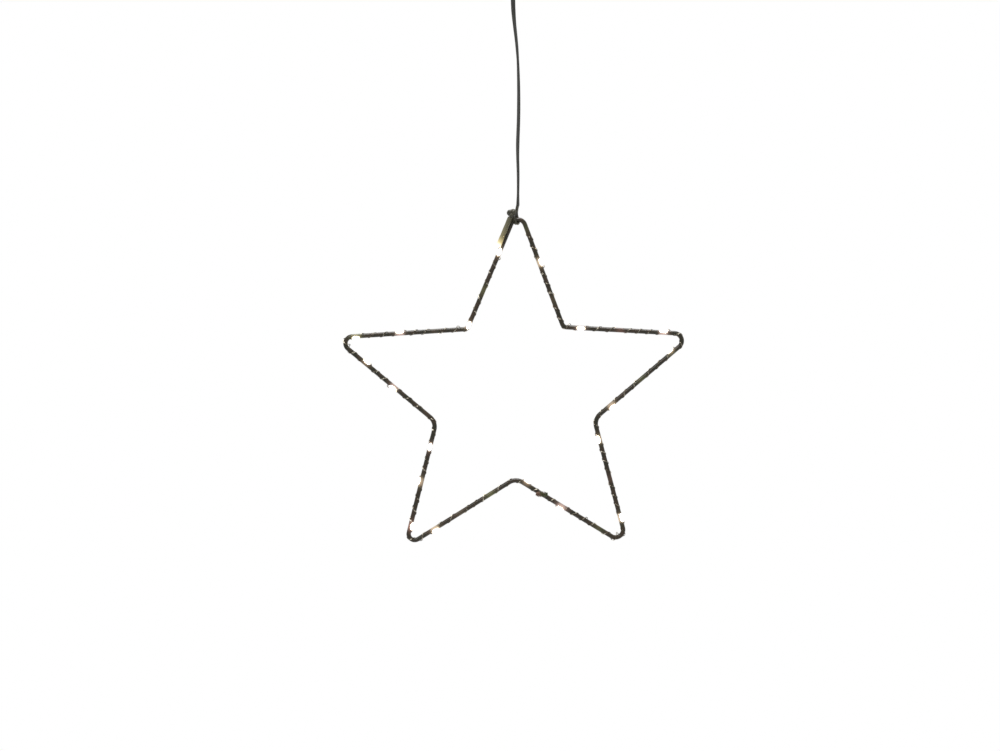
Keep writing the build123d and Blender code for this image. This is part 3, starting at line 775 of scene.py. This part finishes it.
# %% The string
string_line = line_mesh(
    [on_star(along)[0] for along in string_s], turn=np.radians(blurred(phases)),
    reach=blurred(reaches),
)
string_mesh = grow(
    string_line, pair, strand_radius=STRAND_RADIUS, spacing=STRAND_SPACING,
    sides=STRAND_SIDES, material=string_metal,
)
store_painted_glow(string_mesh)
add_piece("light_string", string_mesh, None, "star", ["led_string"])

# %% [markdown]
# Each light is a chip no wider than a grain of salt, soldered across the two wires and sealed in
# a drop of clear resin. The drop is turned from a rounded profile that creeps out along the
# wires at both ends. It is made once and placed thirty times by Geometry Nodes.

# %% Resin that glows
resin, tree, shader = new_material(
    "drop_resin", Emission_Strength=4.0, Base_Color=rgba(0.9, 0.82, 0.68), Roughness=0.12,
    Transmission_Weight=0.5, IOR=1.5,
)
glow = ramp(
    tree, on_points(tree, "glow"),
    (0.0, (0.08, 0.06, 0.048)), (0.35, (0.45, 0.38, 0.31)), (0.75, (1.0, 0.93, 0.80)),
)
connect(tree, shader, Emission_Color=glow, Normal=grain_normal(tree, 900.0, 0.15, 0.0002))

# %% The drop: rings round its own X axis, with how strongly each point glows
RESIN_LENGTH, RESIN_RADIUS = 1.16 * DROP_LENGTH, 1.06 * DROP_RADIUS
DROP_RINGS, DROP_SIDES = 15, 14
DROP_FULLNESS, DROP_ROUNDNESS, DROP_END = 2.4, 0.6, 0.16
rows, glow = [], []
for share in shares(DROP_RINGS - 1):
    along = 2 * share - 1
    full = max(0.0, 1 - abs(along) ** DROP_FULLNESS) ** DROP_ROUNDNESS
    size = RESIN_RADIUS * max(full, DROP_END)
    rows.append([(along * RESIN_LENGTH / 2, size * cos(turn), size * sin(turn))
                 for turn in full_turn(DROP_SIDES)])
    glow += [full] * DROP_SIDES
drop_mesh = skinned_mesh(rows, glow=glow)

# %% The chip: a flat block with rounded edges under a bead of phosphor
CHIP_LENGTH, CHIP_WIDTH, CHIP_HEIGHT, CHIP_EDGE = 1.0 * MM, 0.5 * MM, 0.32 * MM, 0.06 * MM
BEAD_RADIUS, BEAD_LONG, BEAD_LOW = 0.26 * MM, 1.4, 0.7
build = bmesh.new()
bmesh.ops.create_cube(build, size=1.0)
for vertex in build.verts:
    x, y, z = vertex.co
    vertex.co = Vector((x * CHIP_LENGTH, y * CHIP_WIDTH, z * CHIP_HEIGHT))
bmesh.ops.bevel(build, geom=build.edges[:], offset=CHIP_EDGE, segments=2, affect="EDGES")
bead = bmesh.ops.create_icosphere(build, subdivisions=2, radius=BEAD_RADIUS)
for vertex in bead["verts"]:
    x, y, z = vertex.co
    vertex.co = Vector((x * BEAD_LONG, y, z * BEAD_LOW + CHIP_HEIGHT / 2))
chip_mesh = built_mesh(build)

# %% Tree: one shape placed along a line
copier, given, out = geometry_tree(
    "placed_along", Shape="NodeSocketObject", Least_Size=0.94, Most_Size=1.04, Seed=3
)
shape = add(copier, "GeometryNodeObjectInfo", n0=given["Shape"])
lengthwise = add(
    copier, "FunctionNodeAlignRotationToVector", {"axis": "X"},
    Vector=stored(copier, "ahead", "FLOAT_VECTOR"),
)
turned = add(
    copier, "FunctionNodeAlignRotationToVector", {"axis": "Z", "pivot_axis": "X"},
    Rotation=lengthwise, Vector=stored(copier, "radial", "FLOAT_VECTOR"),
)
sizes = add(
    copier, "FunctionNodeRandomValue", {"data_type": "FLOAT"}, Seed=given["Seed"],
    n2=given["Least Size"], n3=given["Most Size"],
)
placed = add(
    copier, "GeometryNodeInstanceOnPoints", Points=given["Geometry"],
    Instance=shape.outputs["Geometry"], Rotation=turned, Scale=sizes.outputs[1],
)
close_tree(copier, placed, given["Material"], out)


def add_copies(name, shape_mesh, places, sizes, seed, material, body, replaces=()):
    """A piece of copies of one small shape. A place is its point, heading and outward way."""
    pattern = linked("pattern", shape_mesh)
    points, ahead, radial = zip(*places)
    mesh = grow(
        line_mesh(points, ahead=ahead, radial=radial), copier, shape=pattern,
        least_size=sizes[0], most_size=sizes[1], seed=seed, material=material,
    )
    bpy.data.objects.remove(pattern)
    return add_piece(name, mesh, None, body, replaces)


# %% The thirty drops and their chips
add_copies(
    "light_drops", drop_mesh, spots, (0.95, 1.06), 3, resin, "star",
    [f"led_drop_{number:02d}" for number in range(1, 31)],
)
add_copies("light_chips", chip_mesh, spots, (1.0, 1.0), 1, phosphor, "star")

# %% [markdown]
# Slack of the string is twisted up into a lump on the front of the lower right arm. The wire
# runs out along the lump, back and out again, at a slant to the arm, in twenty-four turns that
# are widest in the middle. It is the same round wire along a line.

# %% Slack of the string
SLACK_SHARE, SLACK_SLANT = 0.519, radians(-29.0)
SLACK_LENGTH, SLACK_WIDE, SLACK_DEEP = 8.8 * MM, 2.1 * MM, 1.45 * MM
SLACK_GAP, SLACK_WIRE_RADIUS = 0.1 * MM, 1.5 * STRAND_RADIUS
SLACK_TURNS, SLACK_STEPS, SLACK_LAYERS = 24, 720, 3
END_SIZE, FULLNESS, UNEVEN = 0.25, 2.4, 0.06
slack_middle, slack_ahead, _ = beside_wire(
    FIRST_LIGHT + SLACK_SHARE * WOUND, 90, WIRE_RADIUS + SLACK_GAP + SLACK_DEEP
)
slack_way = Matrix.Rotation(SLACK_SLANT, 3, "Y") @ slack_ahead
slack_side = slack_way.cross(FRONT)
slack_points = []
for share in shares(SLACK_STEPS):
    turn = 2 * pi * SLACK_TURNS * share
    there = abs((share * SLACK_LAYERS / 2 + 0.25) % 1 * 2 - 1) - 0.5
    place = there * SLACK_LENGTH * (1 - UNEVEN + UNEVEN * sin(5 * turn / SLACK_TURNS))
    full = max(0.0, 1 - (2 * abs(place) / SLACK_LENGTH) ** FULLNESS) ** 0.5
    size = (END_SIZE + (1 - END_SIZE) * full) * (1 - UNEVEN + UNEVEN * sin(0.37 * turn))
    wide, deep = SLACK_WIDE * size - STRAND_RADIUS, SLACK_DEEP * size - STRAND_RADIUS
    slack_points.append(
        slack_middle + slack_way * place + slack_side * (cos(turn) * wide)
        + FRONT * (sin(turn) * deep)
    )
slack_mesh = grow(
    line_mesh(slack_points), round_wire, radius=SLACK_WIRE_RADIUS, sides=STRAND_SIDES,
    material=slack_enamel,
)
store_painted_glow(slack_mesh)
add_piece("string_slack", slack_mesh, None, "star", ["slack_knot"])

# %% [markdown]
# The sleeve is a thin tube shrunk over the soldered ends. It is olive where the dark lead fills
# it. Towards the bottom its colour is painted paler, to cream, and it glows: painted light of the
# first light below it. The colour follows the tube's length, so a value from 0 at the top to 1 at
# the bottom is stored on its points.

# %% Sleeve
SLEEVE_REACH, SLEEVE_RADIUS, SLEEVE_WALL = 3.55 * MM, 1.8 * MM, 0.3 * MM
SLEEVE_SIDE = radians(48.0)
sleeve_out = BACK.cross(left_way)
sleeve_offset = (sleeve_out * cos(SLEEVE_SIDE) + FRONT * sin(SLEEVE_SIDE)) * SLEEVE_REACH
ball_middle = corners[0] + left_way * BALL_ALONG + sleeve_offset
sleeve_top = ball_middle + left_way * BALL_TO_SLEEVE
SLEEVE_RINGS, SLEEVE_SIDES = 44, 28
WAIST, RIPPLE, NECK, OVAL = 0.045, 0.02, 0.03, 0.012
side = left_way.cross(FRONT).normalized()
up_side = side.cross(left_way).normalized()
outside = [(share, 0) for share in shares(SLEEVE_RINGS - 1)]
inside = [(share, SLEEVE_WALL) for share, _ in reversed(outside)]
rows, shares_down = [], []
for share, inset in outside + inside:
    size = 1 - WAIST * sin(pi * share) + RIPPLE * sin(19 * share) - NECK * (1 - share) ** 6
    row = []
    for turn in full_turn(SLEEVE_SIDES):
        reach = (SLEEVE_RADIUS * size - inset) * (1 + OVAL * sin(2 * turn + 6 * share))
        around = side * cos(turn) + up_side * sin(turn)
        row.append(sleeve_top + left_way * (SLEEVE_LENGTH * share) + around * reach)
    rows.append(row)
    shares_down += [share] * SLEEVE_SIDES
sleeve_mesh = skinned_mesh(rows, closed=True, down=shares_down)
sleeve_plastic, tree, shader = new_material(
    "sleeve_plastic", Emission_Strength=1.1, Roughness=0.3, Transmission_Weight=0.2,
    Specular_IOR_Level=0.4,
)
down = on_points(tree, "down")
# Olive where the lead fills the tube, then painted paler to cream at the bottom, where the first
# light shines.
colour = ramp(
    tree, down, (0.0, (0.085, 0.078, 0.042)), (0.45, (0.145, 0.13, 0.068)),
    (0.74, (0.18, 0.158, 0.078)), (0.84, (0.30, 0.265, 0.155)), (0.93, (0.6, 0.54, 0.38)),
    (1.0, (0.75, 0.68, 0.5)),
)
# Painted glow of the first light at the bottom of the tube.
glow = ramp(
    tree, down, (0.35, (0.0, 0.0, 0.0)), (0.66, (0.05, 0.038, 0.016)), (0.85, (0.42, 0.34, 0.16)),
    (1.0, (1.0, 0.88, 0.74)),
)
connect(
    tree, shader, Base_Color=colour, Emission_Color=glow,
    Normal=grain_normal(tree, 700.0, 0.2, 0.0002),
)
add_piece("splice_tube", sleeve_mesh, sleeve_plastic, "star", ["splice_sleeve"])


# %% Soldered ends in the sleeve
def joined_mesh(*meshes):
    """One mesh from several, each of which is used up."""
    build = bmesh.new()
    for mesh in meshes:
        build.from_mesh(mesh)
        bpy.data.meshes.remove(mesh)
    whole = built_mesh(build)
    whole.shade_smooth()
    return whole


def solder_size(share, bare=0.55, lump=0.45, lump_at=0.52, lump_width=0.12, cover=0.4):
    """Size of a soldered end along its length: insulation, bare wire, a lump, and bare again."""
    return bare + lump * bell(share - lump_at, lump_width) + (cover if share < 0.25 else 0.0)


SPLICE_LENGTH, SPLICE_BELOW_BALL = 18.9 * MM, 3.35 * MM
SPLICE_RADIUS, SPLICE_APART = 0.44 * MM, 0.42 * MM
SPLICE_TURN, SPLICE_STEPS = 2.2 * pi, 40
splice_start = ball_middle + left_way * SPLICE_BELOW_BALL
ends = []
for sign in (1, -1):
    line = []
    for share in shares(SPLICE_STEPS):
        turn = SPLICE_TURN * share
        shift = (sleeve_out * cos(turn) + FRONT * sin(turn)) * (SPLICE_APART * sign)
        line.append(splice_start + left_way * (SPLICE_LENGTH * share) + shift)
    ends.append(swept_mesh(line, round_section(SPLICE_RADIUS), size_at=solder_size))
add_piece("soldered_ends", joined_mesh(*ends), solder_metal, "star", ["solder_splice"])

# %% [markdown]
# The lead goes down behind the wire, round under it, slantwise up its front and into a tight
# overhand knot, whose end goes on into the sleeve. The loop is the flat lead carried along a
# smooth line. The knot is a trefoil, which is what an overhand knot is when its ends are joined.

# %% Knot of the lead: its route is right, back and up in mm, from the top of the wire
APEX_HEIGHT = -254.95 * MM
KNOT_ROUTE = (
    (3.65, 0, 10.3), (3.3, 0.1, 9.0), (2.95, 0.5, 7.2), (2.7, 1.2, 5.0), (2.6, 2.0, 2.9),
    (3.1, 2.5, 0.5), (3.8, 2.0, -2.2), (3.0, 0, -3.15), (1.9, -1.9, -2.5), (1.0, -2.6, 0.2),
    (0.0, -2.8, 2.4),
)
LOOP_WIDTH, LOOP_THICKNESS = 3.0 * MM, 1.6 * MM
LOOP_TURN, LEVEL_FROM, LEVELLING = 65, 0.5, 0.25
KNOT_TUBE, KNOT_SIZE, KNOT_DEPTH, KNOT_STEPS = 1.7 * MM, 0.75 * MM, 1.1 * MM, 96
KNOT_SHIFT, KNOT_LEAN, LOBE_SIZE = 0.2 * MM, radians(50), 1.5
END_STEPS, END_WIDTH, END_THICKNESS = (1.5, 2.3, 3.1, 3.9, 4.9), 2.1 * MM, 1.1 * MM
knot_middle = ball_middle - RIGHT * KNOT_SHIFT
knot_route = [Vector((x * MM, y * MM, APEX_HEIGHT + z * MM)) for x, y, z in KNOT_ROUTE]
loop_line = smooth_points(knot_route + [knot_middle])
loop_mesh = swept_mesh(
    loop_line, twin_section(LOOP_WIDTH, LOOP_THICKNESS),
    lambda share: radians(LOOP_TURN * min(1, max(0, (LEVEL_FROM - share) / LEVELLING))),
)
knot_turned = Matrix.Rotation(KNOT_LEAN, 3, "Y")
knot_line = []
for share in shares(KNOT_STEPS):
    turn = 2 * pi * share
    flat = left_way * (sin(turn) + LOBE_SIZE * sin(2 * turn))
    flat += side * (cos(turn) - LOBE_SIZE * cos(2 * turn))
    behind = FRONT * (KNOT_DEPTH * sin(3 * turn))
    knot_line.append(knot_middle + knot_turned @ flat * KNOT_SIZE - behind)
trefoil_mesh = swept_mesh(knot_line, round_section(KNOT_TUBE, 14), first_side=FRONT)
end_line = [ball_middle + left_way * (step * MM) for step in END_STEPS]
end_mesh = swept_mesh(end_line, twin_section(END_WIDTH, END_THICKNESS), first_side=FRONT)
knot_mesh = joined_mesh(loop_mesh, trefoil_mesh, end_mesh)
add_piece("tied_lead", knot_mesh, knot_cover, "star", ["lead_knot"])

# %% [markdown]
# The cells are turned shapes: a steel can rolled over at the shoulder, a printed film shrunk
# round it, and a nub. One profile is carried round each cell's axis. A value on the points says
# where bare metal shows, and the material mixes film and metal by it.

# %% Cells
def box_of(node):
    """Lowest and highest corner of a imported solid."""
    places = [Vector(place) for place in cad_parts[node].bound_box]
    return [Vector([pick(place[k] for place in places) for k in range(3)]) for pick in (min, max)]


def turned_mesh(start, way, profile, sides=64, film_rows=()):
    """A shape turned round an upright axis from heights and radii in mm, and its bare metal."""
    side = way.cross(BACK).normalized()
    up_side = way.cross(side)
    rows, metal = [], []
    for row, (height, radius) in enumerate(profile):
        middle = start + way * (height * MM)
        rows.append([middle + (side * cos(turn) + up_side * sin(turn)) * (radius * MM)
                     for turn in full_turn(sides)])
        metal += [row not in film_rows] * sides
    mesh = skinned_mesh(rows, metal=metal)
    mesh.set_sharp_from_angle(angle=radians(35))
    return mesh


CELL_LENGTH = 50.2 * MM
CELL_PROFILE = (
    (0.0, 5.6), (0.0, 6.3), (0.15, 6.55), (0.15, 6.75), (0.3, 7.0), (0.6, 7.1), (6.2, 7.1),
    (6.5, 7.1), (40.0, 7.1), (45.8, 7.1), (46.2, 7.1), (48.0, 7.1), (48.5, 7.0), (48.75, 6.7),
    (48.8, 6.3), (48.75, 6.1), (48.7, 6.05), (48.55, 5.7), (48.5, 3.3), (48.7, 2.95), (49.1, 2.8),
    (49.7, 2.7), (50.05, 2.6), (50.2, 2.35),
)
FILM_ROWS = range(3, 16)
film, tree, shader = new_material("cell_film", Roughness=0.3)
bare = on_points(tree, "metal")
print_colour = ramp(
    tree, on_points(tree, "height"), (0.0, (0.02, 0.05, 0.035)), (0.755, (0.03, 0.075, 0.05)),
    (0.76, (0.55, 0.33, 0.10)), (0.80, (0.62, 0.40, 0.14)), (0.805, (0.03, 0.06, 0.045)),
)
steel, _ = clouds(tree, (0.50, 0.49, 0.46), (0.68, 0.67, 0.64), 500.0, 0.35, 0.7)
connect(
    tree, shader, Base_Color=blend(tree, bare, print_colour, steel), Metallic=bare,
    Normal=grain_normal(tree, 600.0, 0.1, 0.0001),
)
for node, way in (("cell_left", UP), ("cell_right", -UP)):
    start = sum(box_of(node), Vector()) / 2 - way * (CELL_LENGTH / 2)
    cell_mesh = turned_mesh(start, way, CELL_PROFILE, film_rows=FILM_ROWS)
    heights = [(vertex.co - start).dot(way) / CELL_LENGTH for vertex in cell_mesh.vertices]
    store(cell_mesh, height=heights)
    add_piece(node + "_turned", cell_mesh, film, "housing", [node])

# %% [markdown]
# On the board sit small things that repeat: two screws, and the joints of solder at the pads.
# Each is made once and placed by the same tree as the drops. The slots of a screw's cross are
# cut with a boolean, as a cutter would do it.

# %% Screws and solder joints
def cross_cut(mesh, width, reach, depth, top, narrowing=0.35):
    """The mesh with a cross-shaped recess cut into its upper end, along its own Z."""
    build = bmesh.new()
    for long_way in (0, 1):
        for vertex in bmesh.ops.create_cube(build, size=1.0)["verts"]:
            lower = vertex.co.z < 0
            sizes = [width, width]
            sizes[long_way] = 2 * reach * (narrowing if lower else 1.0)
            height = top - depth if lower else top + depth
            vertex.co = Vector((vertex.co.x * sizes[0], vertex.co.y * sizes[1], height))
    head, tool = linked("head", mesh), linked("cutter", built_mesh(build))
    cut = head.modifiers.new("cross", "BOOLEAN")
    cut.operation, cut.object, cut.solver, cut.use_self = "DIFFERENCE", tool, "EXACT", True
    made = evaluated_mesh(head)
    bpy.data.objects.remove(head)
    bpy.data.objects.remove(tool)
    return made


SCREW_PROFILE = (
    (-0.05, 1.6), (0.0, 1.9), (0.35, 1.95), (0.7, 1.8), (0.95, 1.45), (1.08, 0.95), (1.12, 0.4),
)
JOINT_PROFILE = (
    (-0.02, 1.15), (0.08, 1.05), (0.3, 0.72), (0.6, 0.5), (0.85, 0.38), (1.0, 0.18),
)
BOSS_SPREAD, CELL_SPREAD, CELL_PAD_HEIGHT = 10.6 * MM, 7.6 * MM, 3.4 * MM
CORE_SPREAD, CORE_HEIGHT = 1.5 * MM, 1.5 * MM
screw_mesh = cross_cut(
    turned_mesh(Vector(), UP, SCREW_PROFILE, 40), width=0.5 * MM, reach=1.25 * MM,
    depth=0.8 * MM, top=1.12 * MM,
)
joint_mesh = turned_mesh(Vector(), UP, JOINT_PROFILE, 24)
board_low, board_high = box_of("circuit_board")
board_middle = (board_low + board_high) / 2

# Places in pairs to both sides of the board's middle
for name, shape_mesh, pairs, material, slot in (
    ("board_screws", screw_mesh, [(BOSS_SPREAD, 0)], bright_steel, "contact_metal"),
    ("board_joints", joint_mesh, [(CELL_SPREAD, CELL_PAD_HEIGHT), (CORE_SPREAD, CORE_HEIGHT)],
     solder_metal, "solder"),
):
    places = [
        (Vector((board_middle.x + sign * x, board_high.y, board_middle.z + z)), RIGHT, BACK)
        for x, z in pairs for sign in (-1, 1)
    ]
    add_copies(name, shape_mesh, places, (0.97, 1.03), 5, material, "housing")

# %% [markdown]
# Inside the box the twin lead is split into its two cores. Each one bends over to its own pad,
# with a little bare wire before the solder.

# %% End of the lead in the box
TAIL_WIDTH, TAIL_THICKNESS, TAIL_STEPS = 2.15 * MM, 1.15 * MM, (0.0, 1.2, 2.4, 3.6, 4.6)
CORE_RADIUS, BARE_FROM, BARE_SIZE = 0.55 * MM, 0.8, 0.45
tail_foot = Vector((0, 0, box_of("lead_tail")[0].z))
flat_part = [tail_foot + UP * (step * MM) for step in TAIL_STEPS]
tail_parts = [swept_mesh(flat_part, twin_section(TAIL_WIDTH, TAIL_THICKNESS))]
for sign in (-1, 1):
    pad = Vector((sign * CORE_SPREAD, board_high.y, board_middle.z + CORE_HEIGHT))
    core_line = smooth_points([
        tail_foot + Vector((sign * 0.5 * MM, 0, 4.2 * MM)),
        tail_foot + Vector((sign * 0.6 * MM, 0, 6.0 * MM)),
        Vector((pad.x * 1.15, 0.2 * MM, pad.z - 1.6 * MM)),
        Vector((pad.x * 1.05, 0.1 * MM, pad.z + 0.2 * MM)),
        pad + BACK * (1.2 * MM),
        pad + BACK * (0.4 * MM),
    ])
    tail_parts.append(swept_mesh(
        core_line, round_section(CORE_RADIUS),
        size_at=lambda share: 1.0 if share < BARE_FROM else BARE_SIZE,
    ))
tail_mesh = joined_mesh(*tail_parts)
add_piece("split_tail", tail_mesh, lead_cover, "housing", ["lead_tail"])

# %% [markdown]
# The box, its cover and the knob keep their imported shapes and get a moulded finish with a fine
# even grain. The board has traces under green lacquer, and the chip on it has tinned ends.

# %% Finishes of the solids that stay
def two_part_material(name, mask_of, first, second, roughness, metallic=False):
    """A material of two colours, mixed by a mask that a function builds from Object coordinates."""
    material, tree, shader = new_material(name, Roughness=roughness)
    mask = mask_of(tree, add(tree, "ShaderNodeTexCoord").outputs["Object"])
    cloudy_part, _ = clouds(tree, *first, 300.0, 0.35, 0.65)
    connect(
        tree, shader, Base_Color=blend(tree, mask, cloudy_part, rgba(*second)),
        Normal=grain_normal(tree, 2500.0, 0.15, 0.00005),
    )
    if metallic:
        connect(tree, shader, Metallic=mask)
    return material


def trace_mask(tree, spot):
    """Copper traces: thin lines between the cells of a coarse pattern of blocks."""
    turned = add(tree, "ShaderNodeMapping", Vector=spot, Rotation=(pi / 2, 0, 0))
    bricks = add(
        tree, "ShaderNodeTexBrick", {"offset": 0.37, "offset_frequency": 3},
        Vector=turned, Scale=260.0, Mortar_Size=0.035, Mortar_Smooth=0.2,
        Brick_Width=1.9, Row_Height=0.42,
    )
    return bricks.outputs["Fac"]


def end_mask(tree, spot, half_middle=1.1 * MM):
    """The tinned ends of the chip: where x is far from its middle."""
    apart = add(tree, "ShaderNodeSeparateXYZ", Vector=spot)
    away = tree_math(tree, "ABSOLUTE", apart.outputs["X"])
    return tree_math(tree, "GREATER_THAN", away, half_middle)


board_lacquer = two_part_material(
    "board_lacquer", trace_mask, ((0.012, 0.085, 0.035), (0.018, 0.11, 0.05)), (0.05, 0.20, 0.08),
    0.28,
)
chip_body = two_part_material(
    "chip_body", end_mask, ((0.02, 0.02, 0.02), (0.03, 0.03, 0.03)), (0.62, 0.61, 0.58), 0.4,
    metallic=True,
)
SOLID_FINISHES = {
    "battery_box": housing_plastic, "battery_cover": housing_plastic, "switch_knob": knob_plastic,
    "lead_grommet": lead_cover, "link_contact": contact_nickel, "plus_contact": contact_nickel,
    "minus_contact": contact_nickel, "circuit_board": board_lacquer, "resistor": chip_body,
    "switch_body": bright_steel,
}
for node, material in SOLID_FINISHES.items():
    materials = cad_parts[node].data.materials
    materials.clear()
    materials.append(material)

# %% [markdown]
# Light comes from all round, as in a studio tent, with one small soft lamp high in front and a
# larger one above. The background is white to the camera and to gloss and glass, and does not
# light the object more.

# %% World
world = bpy.data.worlds.new("studio")
scene.world = world
world.use_nodes = True
tree = world.node_tree
tree.nodes.clear()
rays = add(tree, "ShaderNodeLightPath").outputs
direct = rays["Is Camera Ray"]
for kind in ("Is Glossy Ray", "Is Transmission Ray"):
    direct = tree_math(tree, "MAXIMUM", direct, rays[kind])
soft = add(tree, "ShaderNodeBackground", Color=rgba(0.95, 0.97, 1.0), Strength=0.55)
white = add(tree, "ShaderNodeBackground", Color=rgba(1, 1, 1), Strength=1.0)
choice = add(tree, "ShaderNodeMixShader", n0=direct, n1=soft, n2=white)
add(tree, "ShaderNodeOutputWorld", n0=choice)


# %% Lamps
def soft_lamp(name, offset, size, power):
    """A round lamp that looks at the star's middle."""
    data = bpy.data.lights.new(name, "AREA")
    data.shape, data.size, data.energy = "DISK", size, power
    lamp = linked(name, data)
    lamp.location = STAR_MIDDLE + Vector(offset)
    lamp.rotation_euler = (-Vector(offset)).to_track_quat("-Z", "Y").to_euler()


soft_lamp("front_lamp", (-0.6, -1.3, 1.1), 0.5, 9)
soft_lamp("top_lamp", (0.0, -0.1, 1.2), 0.8, 22)

# %% Floor
FLOOR_RADIUS, FLOOR_HEIGHT = 0.55, -0.75
build = bmesh.new()
bmesh.ops.create_circle(build, cap_ends=True, radius=FLOOR_RADIUS, segments=64)
floor_mesh = built_mesh(build)
floor_mesh.transform(Matrix.Translation((0, 0, FLOOR_HEIGHT)))
floor = linked("floor", floor_mesh)
floor_mesh.materials.append(finish(
    "floor_white", (0.86, 0.86, 0.86), (0.9, 0.9, 0.9), 4.0, roughness=(0.7, 0.8)
))

scene.view_settings.view_transform = "Standard"
